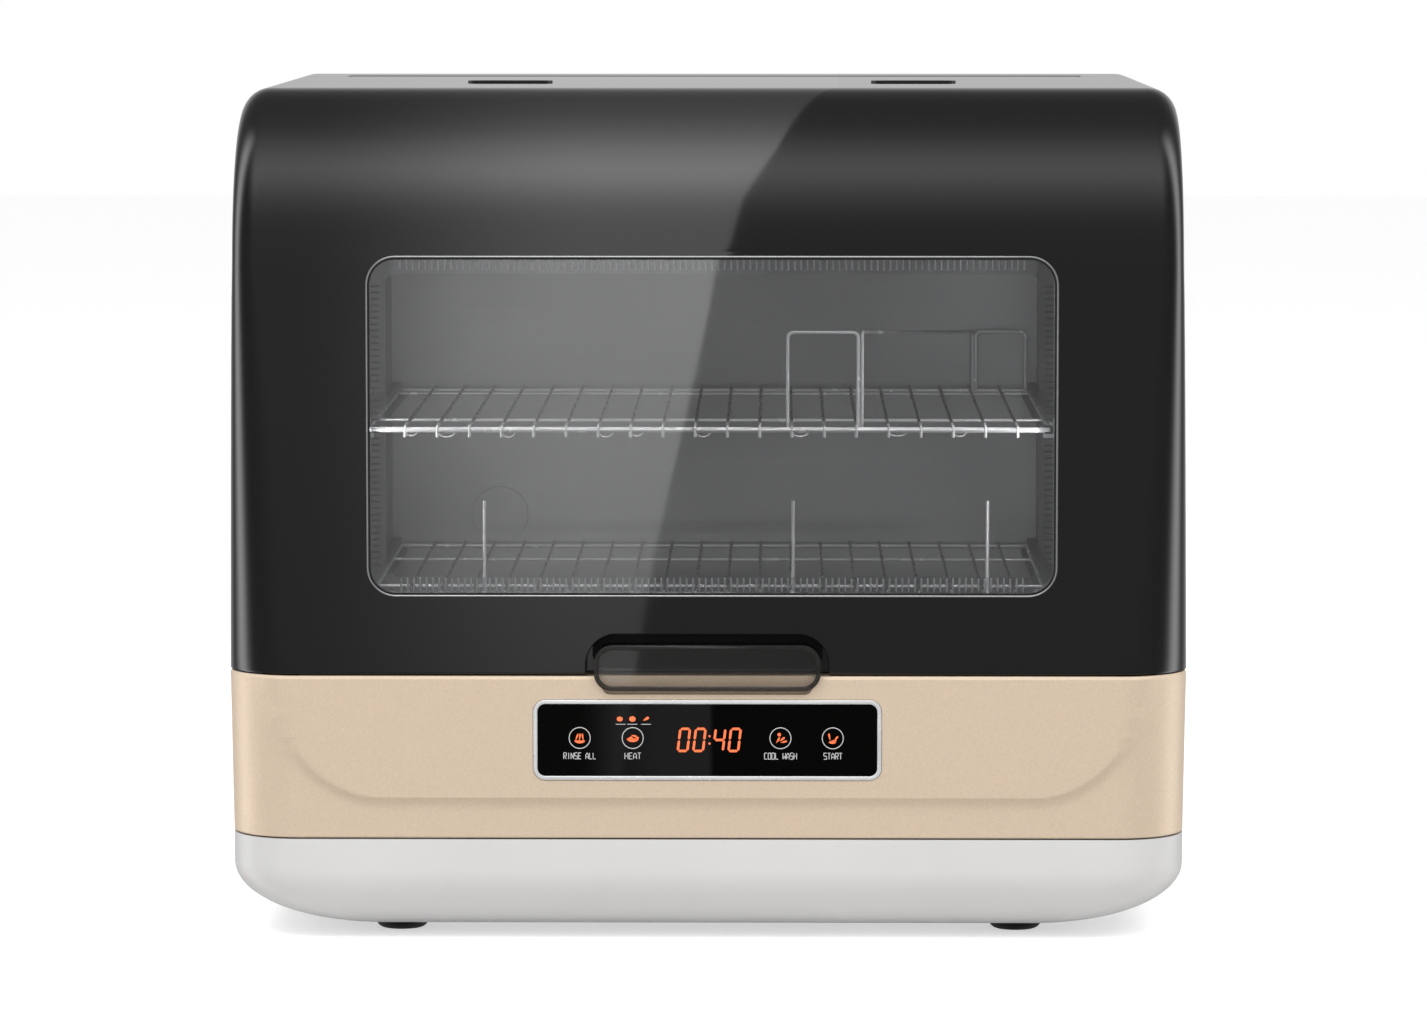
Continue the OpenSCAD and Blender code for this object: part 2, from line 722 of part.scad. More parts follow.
module wash_impeller() color("#e3e4e6")
  mirror([1, 0, 0]) vane_wheel(-motor_end + wall + gap + 3.5, pump_r - wall - 4, 9, 4, 36, pump_z, 6);

module wash_motor() color("#5b5e63") {
  difference() {
    union() {
      bar_x(34, motor_end, motor_end + 70, sump_u, pump_z);
      bar_x(28, motor_end + 69, motor_end + 76, sump_u, pump_z);
      block(motor_end + 8, motor_end + 52, sump_u - 16, sump_u + 16, tray_z, pump_z - 32);
    }
    bar_x(4 + run_gap, motor_end - 1, motor_end + 40, sump_u, pump_z);
  }
}

module feed_pipe() color("#c9cbce") {
  r = 7.5;
  bend = 11;
  z0 = feed_z - 11 + gap;
  difference() {
    union() {
      bar_z(r, feed_x, sump_u + feed_u, z0, feed_z - bend + 2 * gap);
      translate([feed_x - bend, front_y + sump_u + feed_u, feed_z - bend + 2 * gap]) rotate([90, 0, 0])
        rotate_extrude(angle = 90, $fn = 64) translate([bend, 0]) circle(r = r, $fn = 32);
      bar_x(r, sump_r + sump_t, feed_x - bend, sump_u + feed_u, feed_z + 2 * gap);
    }
    bar_z(5, feed_x, sump_u + feed_u, z0 - 1, feed_z - bend + 2 * gap);
    bar_x(5, sump_r - 10, feed_x - bend, sump_u + feed_u, feed_z + 2 * gap);
    bar_z(sump_r + sump_t + gap, 0, sump_u, feed_z - 20, feed_z + 20);
  }
}

drain_r = 22;
drain_end = drain_x + gap + 28;

module drain_pump() color("#3d3f43") {
  x0 = drain_x + gap;
  difference() {
    union() {
      mirror([1, 0, 0]) {
        bar_x(drain_r, x0, drain_end, sump_u, drain_z);
        bar_x(16, drain_end - 1, drain_end + 40, sump_u, drain_z);
        block(drain_end + 8, drain_end + 32, sump_u - 12, sump_u + 12, tray_z, drain_z - 12);
      }
      bar_y(outlet_r + 2, outlet_x, sump_u, sump_u + 28, outlet_z);
    }
    mirror([1, 0, 0]) {
      bar_x(drain_r - wall, x0 + wall, drain_end - wall, sump_u, drain_z);
      bar_x(drain_port_r, x0 - 1, x0 + wall + 1, sump_u, drain_z);
      bar_x(2.5 + run_gap, drain_end - wall - 1, drain_end + 25, sump_u, drain_z);
    }
    bar_y(outlet_r - 3, outlet_x, sump_u, sump_u + 30, outlet_z);
  }
}

module drain_impeller() color("#e3e4e6")
  vane_wheel(-drain_end + wall + gap + 2, drain_r - wall - 3, 9, 2.5, 24, drain_z, 4);

module drain_outlet() color("#c9cbce") {
  difference() {
    union() {
      bar_y(outlet_r - neck_step, outlet_x, sump_u + 28, body_d + 1, outlet_z);
      bar_y(outlet_r, outlet_x, body_d, body_d + rear_reach, outlet_z);
    }
    bar_y(outlet_r - 3, outlet_x, sump_u + 27, body_d + rear_reach + 1, outlet_z);
  }
}

neck_step = 0.6;
chamber = [-40, 150, 160, 320];
bay_u = tub_rear_u + tub_t + gap;
bay_end = body_d - wall - gap;

module inlet_valve() color("#e8e6df") {
  difference() {
    union() {
      block(inlet_x - 20, inlet_x + 20, bay_end - 46, bay_end, inlet_z - 18, inlet_z + 18);
      bar_y(inlet_r - neck_step, inlet_x, bay_end - 1, body_d + 1, inlet_z);
      bar_y(inlet_r, inlet_x, body_d, body_d + rear_reach, inlet_z);
      bar_z(8, inlet_x, bay_end - 26, inlet_z + 17, chamber[2] - gap);
    }
    bar_y(inlet_r - 4, inlet_x, bay_end - 24, body_d + rear_reach + 1, inlet_z);
    bar_z(5.5, inlet_x, bay_end - 26, inlet_z - 4, chamber[2] + 1);
  }
}

module fill_chamber() color("#c3cdd2") {
  difference() {
    block(chamber[0], chamber[1], bay_u, bay_end, chamber[2], chamber[3]);
    block(chamber[0] + 2.5, chamber[1] - 2.5, bay_u + 2.5, bay_end - 2.5, chamber[2] + 2.5, chamber[3] - 2.5);
    bar_z(5.5, inlet_x, bay_end - 26, chamber[2] - 1, chamber[2] + 4);
  }
}

// ---- Drying fan ----

fan_r = 44;
fan_u = bay_u + 30;
fan_w = 40;
duct_x = 19;

module fan_housing() color("#2f3134") {
  difference() {
    union() {
      bar_y(fan_r, fan_x, fan_u, fan_u + fan_w, fan_z);
      bar_y(20, fan_x, bay_u, fan_u + 1, fan_z);
      block(fan_x - duct_x, fan_x + duct_x, fan_u, fan_u + fan_w, duct_top + gap, fan_z - 10);
    }
    bar_y(fan_r - wall, fan_x, fan_u + wall, fan_u + fan_w - wall, fan_z);
    bar_y(26, fan_x, fan_u + fan_w - wall - 1, fan_u + fan_w + 1, fan_z);
    bar_y(2 + run_gap, fan_x, bay_u + 4, fan_u + wall + 1, fan_z);
    block(fan_x - duct_x + wall, fan_x + duct_x - wall, fan_u + wall, fan_u + fan_w - wall, duct_top - 1,
      fan_z - 20);
  }
}

module fan_wheel() color("#1b1c1e") {
  wheel_r = fan_r - wall - 6;
  back = fan_u + wall + 1;
  blades = 14;
  bar_y(2, fan_x, bay_u + 6, back + 1, fan_z);
  bar_y(wheel_r, fan_x, back, back + 2, fan_z);
  for (i = [0:blades - 1])
    translate([fan_x, front_y + back + 1, fan_z]) rotate([0, i * 360 / blades, 0])
      translate([wheel_r - 8, 0, -0.8]) cube([7, fan_w - 2 * wall - 6, 1.6]);
}

duct_top = duct_z + 22;

module duct_heater() color("#8d8f92") {
  u1 = fan_u + fan_w;
  difference() {
    block(fan_x - duct_x, fan_x + duct_x, bay_u, u1, duct_z - 22, duct_top);
    block(fan_x - duct_x + wall, fan_x + duct_x - wall, bay_u + wall, u1 - wall, duct_z - 22 + wall,
      duct_top - wall);
    block(fan_x - duct_x + wall, fan_x + duct_x - wall, fan_u + wall, u1 - wall, duct_z, duct_top + 1);
    bar_y(duct_r, fan_x, bay_u - 1, bay_u + wall + 1, duct_z);
  }
}

// ---- Electrics ----

module control_bezel() color("#c6c7c9") {
  out = pad_t + 1.2;
  difference() {
    union() {
      deep(-out, wall + gap + 0.1, round_rect(bezel_w, bezel_h, 6), bezel_z);
      deep(wall + gap, wall + gap + 2, round_rect(bezel_w + 12, bezel_h - 8, 4), bezel_z);
    }
    deep(-out - 1, wall + gap + 3, round_rect(bezel_w - 2 * bezel_rim, bezel_h - 2 * bezel_rim, 4), bezel_z);
  }
}

glass_w = bezel_w - 2 * bezel_rim - 0.2;
glass_h = bezel_h - 2 * bezel_rim - 0.2;

module control_glass() color("#08090a")
  deep(-pad_t - 0.8, wall - 1.2, round_rect(glass_w, glass_h, 3.9), bezel_z);

module display_board() color("#1f5a3a") {
  u0 = wall - 1.2 + gap;
  deep(u0, u0 + 1.6, round_rect(glass_w - 1, glass_h - 1, 3), bezel_z);
  block(-17, 17, u0 + 1.5, u0 + 6, bezel_z - 9, bezel_z + 9);
  for (x = [-63.5, -37, 36, 62.5]) bar_y(5, x, u0 + 1.5, u0 + 4, bezel_z + 1.5);
}

module main_board() color("#1f5a3a") {
  x0 = -166;
  x1 = -66;
  for (x = [x0 + 6, x1 - 6], u = [46, 114]) bar_z(3, x, u, tray_z, tray_z + 8.5);
  block(x0, x1, 40, 120, tray_z + 8, tray_z + 9.6);
  block(x0 + 10, x0 + 40, 55, 80, tray_z + 9.5, tray_z + 30);
  block(x0 + 50, x0 + 68, 60, 75, tray_z + 9.5, tray_z + 24);
  for (u = [60, 78]) bar_z(6, x1 - 18, u, tray_z + 9.5, tray_z + 28);
  block(x0 + 14, x0 + 60, 95, 112, tray_z + 9.5, tray_z + 16);
}

module power_inlet() color("#141516") {
  difference() {
    union() {
      deep(body_d, body_d + 2, round_rect(50, 30, 5), socket_z, socket_x);
      deep(body_d - 24, body_d + 1, round_rect(32, 24, 2.8), socket_z, socket_x);
    }
    deep(body_d - 18, body_d + 3, round_rect(24.5, 16.5, 3), socket_z, socket_x);
  }
  for (x = [-7, 0, 7])
    block(socket_x + x - 1, socket_x + x + 1, body_d - 19, body_d - 4, socket_z - 2 + (x == 0 ? 3 : 0),
      socket_z + 2 + (x == 0 ? 3 : 0));
}

// the leak float stands by the tray's right end
float_inset = 86;
float_x = body_w / 2 - float_inset;
float_u = 62;
float_pin = 2.5;

module float_guide() color("#c9cbce") {
  bar_z(13, float_x, float_u, tray_z, tray_z + 1.5);
  bar_z(float_pin, float_x, float_u, tray_z, tray_z + 26);
  bar_z(5, float_x, float_u, tray_z + 25, tray_z + 28);
}

module leak_float() color("#e8e6df") {
  z0 = tray_z + 1.5 + gap;
  difference() {
    bar_z(12, float_x, float_u, z0, z0 + 12);
    bar_z(float_pin + run_gap, float_x, float_u, z0 - 1, z0 + 13);
  }
}

magnet_z = fascia_top - deck_t;
magnet_x = tub_x - 23;
magnet_w = 10;
sensor_x = tub_x + 8;

module catch_magnets() color("#4a4b4e") both_sides()
  block(magnet_x - magnet_w, magnet_x + magnet_w, 12, 22, magnet_z - 6, magnet_z);
module lid_sensor() color("#1b1c1e") block(sensor_x - 9, sensor_x + 9, 12, 20, magnet_z - 5, magnet_z);

module rear_screws() color("#9a9ca0")
  for (side = [-1, 1], z = screw_z) {
    bar_y(1.6, side * screw_x, strip_u - 6, body_d + 0.5, z);
    bar_y(3.5, side * screw_x, body_d, body_d + 1.6, z);
  }

// ---- Hinge ----

bracket_x = ear_x + ear_wall + 0.5;
neck_z = body_h - mouth - flange_t - gap;
foot_u = tub_rear_u + tub_t + gap;

module hinge_brackets() color("#8d8f92") both_sides() {
  head = barrel_r - wall - gap - 0.4;
  difference() {
    union() {
      bar_x(head, bracket_x, bracket_x + bracket_t, hinge_u, hinge_z);
      block(bracket_x, bracket_x + bracket_t, foot_u, hinge_u + head, hinge_z - 60, neck_z);
      block(bracket_x, bracket_x + bracket_t, hinge_u - head, hinge_u + head, neck_z - 1, hinge_z);
      block(tub_out - 14, bracket_x + 1, foot_u, foot_u + 3, hinge_z - 60, hinge_z - 30);
    }
    bar_x(pin_r + run_gap, bracket_x - 1, bracket_x + bracket_t + 1, hinge_u, hinge_z);
  }
}

damper_l = 15;

module hinge_dampers() color("#1b1c1e") both_sides()
  difference() {
    x0 = bracket_x + bracket_t;
    bar_x(barrel_r - wall - gap - 0.4, x0, x0 + damper_l, hinge_u, hinge_z);
    bar_x(pin_r + run_gap, x0 - 1, x0 + damper_l - 2, hinge_u, hinge_z);
  }

module hinge_pins() color("#b9bcc0") both_sides()
  bar_x(pin_r, barrel_x - 18, bracket_x + bracket_t + damper_l - 3, hinge_u, hinge_z);

module hinge_barrel() color("#161719") {
  leaf_t = 2;
  leaf_z = body_h - wall - gap;
  difference() {
    union() {
      bar_x(barrel_r, -barrel_x, barrel_x, hinge_u, hinge_z);
      block(-barrel_x, barrel_x, hinge_u - barrel_r + 2.8, hinge_u, hinge_z, body_h - 0.5);
      block(-barrel_x + 5, barrel_x - 5, hinge_u - 44, hinge_u, leaf_z - leaf_t, leaf_z);
    }
    both_sides() bar_x(pin_r, barrel_x - 18, barrel_x + 1, hinge_u, hinge_z);
  }
}

// ---- Lid ----

lid_z = fascia_top + seam;
lid_end_u = hinge_u - barrel_r + 2.5;
pocket_x = tab_w / 2 + 3.8;
pocket_top = tab_z + tab_h / 2 + 5;
pocket_r = 15;
pocket_t = 2.5;
trim_out = 2 * trim_w;

// Outline of the pocket about the lid's lower edge, its lower half cut off with the lid
function pocket_outline(grow) =
  round_rect(2 * (pocket_x + grow), 2 * (pocket_top - lid_z + grow), pocket_r + grow);

module window_ring(outer, inner, u0, u1) {
  difference() {
    deep(u0, u1, round_rect(window_w + outer, window_h + outer, window_r + outer / 2), window_z);
    deep(u0 - 1, u1 + 1, round_rect(window_w + inner, window_h + inner, window_r + inner / 2), window_z);
  }
}

module vent_plate(grow, z0, z1) both_sides()
  translate([vent_x, front_y + vent_u, z0])
    linear_extrude(z1 - z0) polygon(round_rect(vent_w + grow, vent_d + grow, (vent_d + grow) / 2 - 0.05));

module lid_shell() color("#141517") {
  difference() {
    upper_form(0);
    upper_form(wall, 1);
    across(-far, far, inside_line(skirt, 0, body_d + 50));
    block(-far, far, -far, far, 0, lid_z);
    block(-far, far, body_d - 60, body_d + 50, 0, far);
    block(-ear_x + 0.2, ear_x - 0.2, lid_end_u, body_d, 0, far);
    both_sides() across(ear_x - seam, far, ear_outline(ear_r + seam, 0, body_h + 5, body_d));
    deep(-10, 10, round_rect(window_w + trim_out + 0.2, window_h + trim_out + 0.2, window_r + trim_w),
      window_z);
    deep(-10, 10, pocket_outline(0), lid_z);
    vent_plate(0.3, body_h - 10, body_h + 5);
  }
  difference() {
    deep(wall - 0.5, pocket_d + pocket_t, pocket_outline(pocket_t), lid_z);
    deep(-10, pocket_d, pocket_outline(0), lid_z);
    block(-far, far, -far, far, 0, lid_z);
  }
}

module lid_liner() color("#232427") {
  inner = wall + gap;
  z0 = lid_z + 0.4;
  leaf = 2 + 2 * gap;
  difference() {
    union() {
      across(-liner_x, liner_x, band_line(liner_u - liner_t, liner_u, z0, flange_end_u));
      both_sides() across(liner_x - liner_t, liner_x, band_line(inner, liner_u, z0, flange_end_u));
      block(-liner_x, liner_x, inner, liner_u, z0, z0 + liner_t);
      block(-liner_x, liner_x, flange_end_u - liner_t, flange_end_u, body_h - liner_u, body_h - inner - leaf);
      window_ring(13, 9, inner + 0.8, liner_u);
    }
    deep(liner_u - liner_t - 1, liner_u + 1, round_rect(window_w + 9, window_h + 9, window_r + 4.5),
      window_z);
    block(-pocket_x - 2.8, pocket_x + 2.8, 0, pocket_d + 2.8, 0, pocket_top + 2.8);
    both_sides()
      block(liner_x - liner_t - 1, liner_x + 1, hinge_u - 45, hinge_u, body_h - inner - leaf, body_h);
  }
}

module window_pane() color([0.1, 0.1, 0.11, 0.5])
  deep(0.6, 0.6 + glass_t, round_rect(window_w - 0.2, window_h - 0.2, window_r - 0.1), window_z);

module window_trim() color("#b9bcc0") window_ring(trim_out, 0, 0, 0.6 + glass_t);
module window_seal() color("#6d7074") window_ring(8, -2 * seal_w, 0.6 + glass_t, 3.6 + glass_t);

module lid_handle() color([0.12, 0.12, 0.13, 0.7]) {
  deep(-tab_out, -tab_out + tab_t, round_rect(tab_w, tab_h, tab_r), tab_z);
  for (x = [-40, 40]) bar_y(4, x, -tab_out + tab_t - 0.5, pocket_d, tab_z + tab_h / 2 - 5);
}

module steam_vents() color("#0c0d0e") {
  difference() {
    vent_plate(0, body_h - wall - 0.5, body_h + vent_out);
    both_sides() for (v = [-3.4, 0, 3.4])
      block(vent_x - vent_w / 2 + 6, vent_x + vent_w / 2 - 6, vent_u + v - 0.9, vent_u + v + 0.9,
        body_h - 10, body_h + 5);
  }
}

module lid_strikers() color("#b9bcc0") both_sides()
  block(magnet_x - magnet_w - 2, magnet_x + magnet_w + 2, 11, 23, lid_z + 0.4 + liner_t,
    lid_z + 0.4 + 2 * liner_t);

base_tray();
feet();
front_fascia();
left_side_panel();
right_side_panel();
rear_panel();
rear_top_cover();
tub();
tub_gasket();
upper_runners();
lower_runners();
sump();
filter_plate();
filter_cup();
spindle();
spray_arm();
heating_element();
control_bezel();
control_glass();
display_board();
main_board();
wash_pump();
wash_impeller();
wash_motor();
feed_pipe();
drain_pump();
drain_impeller();
drain_outlet();
inlet_valve();
fill_chamber();
fan_housing();
fan_wheel();
duct_heater();
power_inlet();
float_guide();
leak_float();
hinge_brackets();
hinge_dampers();
catch_magnets();
lid_sensor();
rear_screws();
lid_shell();
lid_liner();
window_pane();
window_trim();
window_seal();
lid_handle();
steam_vents();
hinge_barrel();
hinge_pins();
lid_strikers();
upper_rack_rim();
upper_rack_floor();
upper_rack_dividers();
lower_rack_rim();
lower_rack_floor();
lower_rack_tines();
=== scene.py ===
import json
from math import acos, cos, hypot, pi, radians, sin, sqrt

import bmesh
import bpy
from mathutils import Matrix, Vector

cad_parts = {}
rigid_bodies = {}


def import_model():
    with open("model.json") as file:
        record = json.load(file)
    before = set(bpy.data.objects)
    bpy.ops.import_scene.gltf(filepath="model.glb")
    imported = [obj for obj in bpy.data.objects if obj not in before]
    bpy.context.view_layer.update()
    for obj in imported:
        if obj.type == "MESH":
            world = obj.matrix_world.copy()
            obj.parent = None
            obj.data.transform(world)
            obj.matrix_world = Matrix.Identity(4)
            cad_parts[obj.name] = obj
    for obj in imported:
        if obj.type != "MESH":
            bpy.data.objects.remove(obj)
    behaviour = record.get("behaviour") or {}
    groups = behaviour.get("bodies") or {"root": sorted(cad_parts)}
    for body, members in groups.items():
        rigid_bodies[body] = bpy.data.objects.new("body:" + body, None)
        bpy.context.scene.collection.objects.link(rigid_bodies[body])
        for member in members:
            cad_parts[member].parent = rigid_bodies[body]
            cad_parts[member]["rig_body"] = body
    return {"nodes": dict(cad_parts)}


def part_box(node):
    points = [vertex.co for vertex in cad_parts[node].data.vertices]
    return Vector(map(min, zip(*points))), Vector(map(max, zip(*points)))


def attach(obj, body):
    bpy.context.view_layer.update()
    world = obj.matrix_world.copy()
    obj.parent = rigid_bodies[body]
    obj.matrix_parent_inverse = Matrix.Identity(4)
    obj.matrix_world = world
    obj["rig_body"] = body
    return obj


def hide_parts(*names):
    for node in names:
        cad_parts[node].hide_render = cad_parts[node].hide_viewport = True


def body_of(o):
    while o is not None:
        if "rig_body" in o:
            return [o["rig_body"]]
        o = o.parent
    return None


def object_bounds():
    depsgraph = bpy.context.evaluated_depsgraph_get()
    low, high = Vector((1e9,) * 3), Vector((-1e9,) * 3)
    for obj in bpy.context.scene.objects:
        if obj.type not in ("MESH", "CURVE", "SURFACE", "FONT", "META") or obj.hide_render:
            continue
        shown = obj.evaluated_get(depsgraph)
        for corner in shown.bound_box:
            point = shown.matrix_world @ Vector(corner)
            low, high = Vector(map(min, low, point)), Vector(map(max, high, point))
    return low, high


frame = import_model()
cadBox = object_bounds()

scene = bpy.context.scene
near = 1e-5  # how close to a plane a point counts as lying on it
tiny = 1e-6  # points closer together than this are one point


def span(nodeName):
    low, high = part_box(nodeName)
    return Vector(low), Vector(high)


# small tools for working by hand

def letGo():
    if bpy.context.mode != "OBJECT":
        bpy.ops.object.mode_set(mode="OBJECT")
    bpy.ops.object.select_all(action="DESELECT")


def pick(piece):
    letGo()
    piece.select_set(True)
    bpy.context.view_layer.objects.active = piece


def selectEdges(piece, wanted):
    # into edit mode with only the wanted edges selected
    pick(piece)
    bpy.ops.object.mode_set(mode="EDIT")
    bpy.ops.mesh.select_mode(type="EDGE")
    bpy.ops.mesh.select_all(action="DESELECT")
    shape = bmesh.from_edit_mesh(piece.data)
    for edge in shape.edges:
        edge.select = bool(wanted(edge.verts[0].co, edge.verts[1].co))
    shape.select_flush_mode()
    bmesh.update_edit_mesh(piece.data)


def backToObject():
    bpy.ops.object.mode_set(mode="OBJECT")


def editAll(piece, action, **values):
    # one mesh operator on the whole piece
    pick(piece)
    bpy.ops.object.mode_set(mode="EDIT")
    bpy.ops.mesh.select_all(action="SELECT")
    action(**values)
    backToObject()


def addBlock(name, low, high):
    letGo()
    low, high = Vector(low), Vector(high)
    bpy.ops.mesh.primitive_cube_add(size=1, location=(low + high) / 2)
    piece = bpy.context.object
    piece.name = piece.data.name = name
    piece.scale = high - low
    bpy.ops.object.transform_apply(location=True, rotation=True, scale=True)
    return piece


def addRod(name, radius, start, end, sides=24):
    letGo()
    start, end = Vector(start), Vector(end)
    way = end - start
    bpy.ops.mesh.primitive_cylinder_add(
        vertices=sides, radius=radius, depth=way.length, location=(start + end) / 2)
    piece = bpy.context.object
    piece.name = piece.data.name = name
    piece.rotation_euler = way.to_track_quat("Z", "Y").to_euler()
    bpy.ops.object.transform_apply(location=True, rotation=True, scale=True)
    return piece


def roundEdges(piece, wanted, width, segments=6):
    selectEdges(piece, wanted)
    bpy.ops.mesh.bevel(offset=width, offset_type="OFFSET", segments=segments, profile=0.5,
        affect="EDGES", clamp_overlap=True)
    backToObject()


def applyModifier(piece, kind, **values):
    pick(piece)
    modifier = piece.modifiers.new(kind.title(), kind)
    for key, value in values.items():
        setattr(modifier, key, value)
    bpy.ops.object.modifier_apply(modifier=modifier.name)


def combine(piece, other, operation):
    applyModifier(piece, "BOOLEAN", operation=operation, solver="EXACT", object=other)
    bpy.data.objects.remove(other)


def cutAway(piece, *cutters):
    for cutter in cutters:
        combine(piece, cutter, "DIFFERENCE")


def smoothBy(piece, degrees):
    pick(piece)
    bpy.ops.object.shade_smooth_by_angle(angle=radians(degrees))


def steadyNormals(piece):
    # broad faces keep their own shading beside narrow bends
    applyModifier(piece, "WEIGHTED_NORMAL", mode="FACE_AREA", weight=60, keep_sharp=True)


def joinAll(name, parts):
    letGo()
    for part in parts:
        part.select_set(True)
    bpy.context.view_layer.objects.active = parts[0]
    if len(parts) > 1:
        bpy.ops.object.join()
    piece = bpy.context.object
    piece.name = piece.data.name = name
    return piece


def spread(piece, places):
    # one copy of the mesh at each place, joined into the first
    copies = []
    for place in places[1:]:
        twin = piece.copy()
        twin.data = piece.data.copy()
        bpy.context.collection.objects.link(twin)
        twin.data.transform(place)
        copies.append(twin)
    piece.data.transform(places[0])
    return joinAll(piece.name, [piece] + copies)


def recalcNormals(piece, merge=tiny):
    editAll(piece, bpy.ops.mesh.remove_doubles, threshold=merge)
    editAll(piece, bpy.ops.mesh.normals_make_consistent, inside=False)


def faceOut(piece, at, outward):
    # turns an open skin so that the face nearest a place looks outward
    nearest = min(piece.data.polygons, key=lambda p: (p.center - Vector(at)).length)
    if nearest.normal.dot(Vector(outward)) < 0:
        editAll(piece, bpy.ops.mesh.flip_normals)


def finishPiece(piece, body, finish, replaced=(), smooth=None):
    if smooth:
        smoothBy(piece, smooth)
    piece.data.materials.clear()
    piece.data.materials.append(finishes[finish])
    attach(piece, body)
    if replaced:
        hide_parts(*replaced)


def roundedSlab(name, width, height, radius, y0, y1, zMid, xMid=0.0, segments=8):
    # a slab in the XZ plane with rounded corners
    slab = addBlock(name, (xMid - width / 2, y0, zMid - height / 2),
        (xMid + width / 2, y1, zMid + height / 2))
    roundEdges(slab, lambda a, b: abs(a.y - b.y) > (y1 - y0) / 2, radius, segments)
    return slab


def ringSlab(name, width, height, radius, band, y0, y1, zMid, xMid=0.0, segments=12):
    # a rounded slab with its middle cut out, which leaves a band all round
    ring = roundedSlab(name, width, height, radius, y0, y1, zMid, xMid, segments)
    cutAway(ring, roundedSlab(name + "_middle", width - 2 * band, height - 2 * band,
        radius - band, y0 - 0.01, y1 + 0.01, zMid, xMid, segments))
    return ring


def loftSkin(name, columns, rows, place):
    # a grid whose every corner is laid on the form, row by row
    letGo()
    bpy.ops.mesh.primitive_grid_add(x_subdivisions=columns, y_subdivisions=rows, size=2)
    skin = bpy.context.object
    skin.name = skin.data.name = name
    for vert in skin.data.vertices:
        across = round((vert.co.x + 1) / 2 * columns) / columns
        along = round((vert.co.y + 1) / 2 * rows) / rows
        vert.co = place(across, along)
    skin.data.update()
    return skin


def loftRings(name, rings):
    # a skin through rings of points that all hold the same number
    rows, columns = len(rings) - 1, len(rings[0]) - 1
    return loftSkin(name, columns, rows, lambda u, v: rings[round(v * rows)][round(u * columns)])


print("tools ready")


# node tools: a socket takes a value, or a link where another node's output is given

def setSockets(node, sockets):
    for name, value in sockets.items():
        if isinstance(value, bpy.types.NodeSocket):
            node.id_data.links.new(value, node.inputs[name])
        else:
            node.inputs[name].default_value = value
    return node


def addNode(tree, kind, sockets=None, **settings):
    node = tree.nodes.new("ShaderNode" + kind)
    for name, value in settings.items():
        setattr(node, name, value)
    return setSockets(node, sockets or {})


def startMaterial(name):
    material = bpy.data.materials.new(name)
    material.use_nodes = True
    tree = material.node_tree
    return material, tree, tree.nodes["Principled BSDF"]


def objectCoords(tree, stretch=(1, 1, 1)):
    coords = addNode(tree, "TexCoord")
    mapping = addNode(tree, "Mapping", {"Scale": stretch, "Vector": coords.outputs["Object"]})
    return mapping.outputs["Vector"]


def splitAxes(tree, vector):
    return addNode(tree, "SeparateXYZ", {"Vector": vector}).outputs


def addMath(tree, kind, first, second=None):
    sockets = {0: first} if second is None else {0: first, 1: second}
    return addNode(tree, "Math", sockets, operation=kind).outputs[0]


def noiseOf(tree, vector, scale, detail=3.0, roughness=0.55):
    noise = addNode(tree, "TexNoise", {
        "Scale": scale, "Detail": detail, "Roughness": roughness, "Vector": vector})
    return noise.outputs["Fac"]


def stretchRange(tree, value, low=0.0, high=1.0, fromLow=0.3, fromHigh=0.7, kind="LINEAR"):
    ranger = addNode(tree, "MapRange", {
        "From Min": fromLow, "From Max": fromHigh, "To Min": low, "To Max": high, "Value": value,
    }, interpolation_type=kind)
    return ranger.outputs["Result"]


def shade(colour, amount):
    return tuple(max(0.0, min(1.0, c * amount)) for c in colour)


def tintBy(tree, factor, colour, dark, light):
    # the colour wanders between a darker and a lighter tone of itself
    mixer = addNode(tree, "Mix", {
        "A": (*shade(colour, dark), 1), "B": (*shade(colour, light), 1), "Factor": factor,
    }, data_type="RGBA")
    return mixer.outputs["Result"]


def raiseBump(tree, shader, height, distance, strength):
    bump = addNode(tree, "Bump", {"Strength": strength, "Distance": distance, "Height": height})
    setSockets(shader, {"Normal": bump.outputs["Normal"]})


def mixShaders(tree, factor, first, second):
    return addNode(tree, "MixShader", {"Fac": factor, 1: first, 2: second}).outputs["Shader"]


# finishes

def mouldedPlastic(name, colour, roughness, drift=0.10, grain=900, bump=0.00003, specular=0.5):
    # fine spark-eroded grain, faint flow marks and a roughness that wanders
    material, tree, shader = startMaterial(name)
    coords = objectCoords(tree)
    clouds = noiseOf(tree, coords, 14, 4)
    setSockets(shader, {
        "Base Color": tintBy(tree, stretchRange(tree, clouds), colour, 1 - drift, 1 + drift),
        "Roughness": stretchRange(tree, clouds, roughness * 0.85, min(1, roughness * 1.15)),
        "Specular IOR Level": specular,
    })
    raiseBump(tree, shader, noiseOf(tree, coords, grain, 2), bump, 0.6)
    return material


def softRubber(name, colour, roughness=0.75):
    return mouldedPlastic(name, colour, roughness, 0.18, 1500, 0.00006, 0.35)


def glossyLacquer(name, colour, roughness):
    # deep lacquer: a slow orange peel, with dust-fine dulling
    material, tree, shader = startMaterial(name)
    coords = objectCoords(tree)
    haze = noiseOf(tree, coords, 22, 5, 0.6)
    specks = stretchRange(tree, noiseOf(tree, coords, 2600, 1), fromLow=0.45, fromHigh=0.75)
    setSockets(shader, {
        "Base Color": tintBy(tree, specks, colour, 0.9, 1.25),
        "Roughness": stretchRange(tree, haze, roughness * 0.7, roughness * 1.35),
    })
    raiseBump(tree, shader, noiseOf(tree, coords, 160, 2, 0.4), 0.000003, 0.05)
    return material


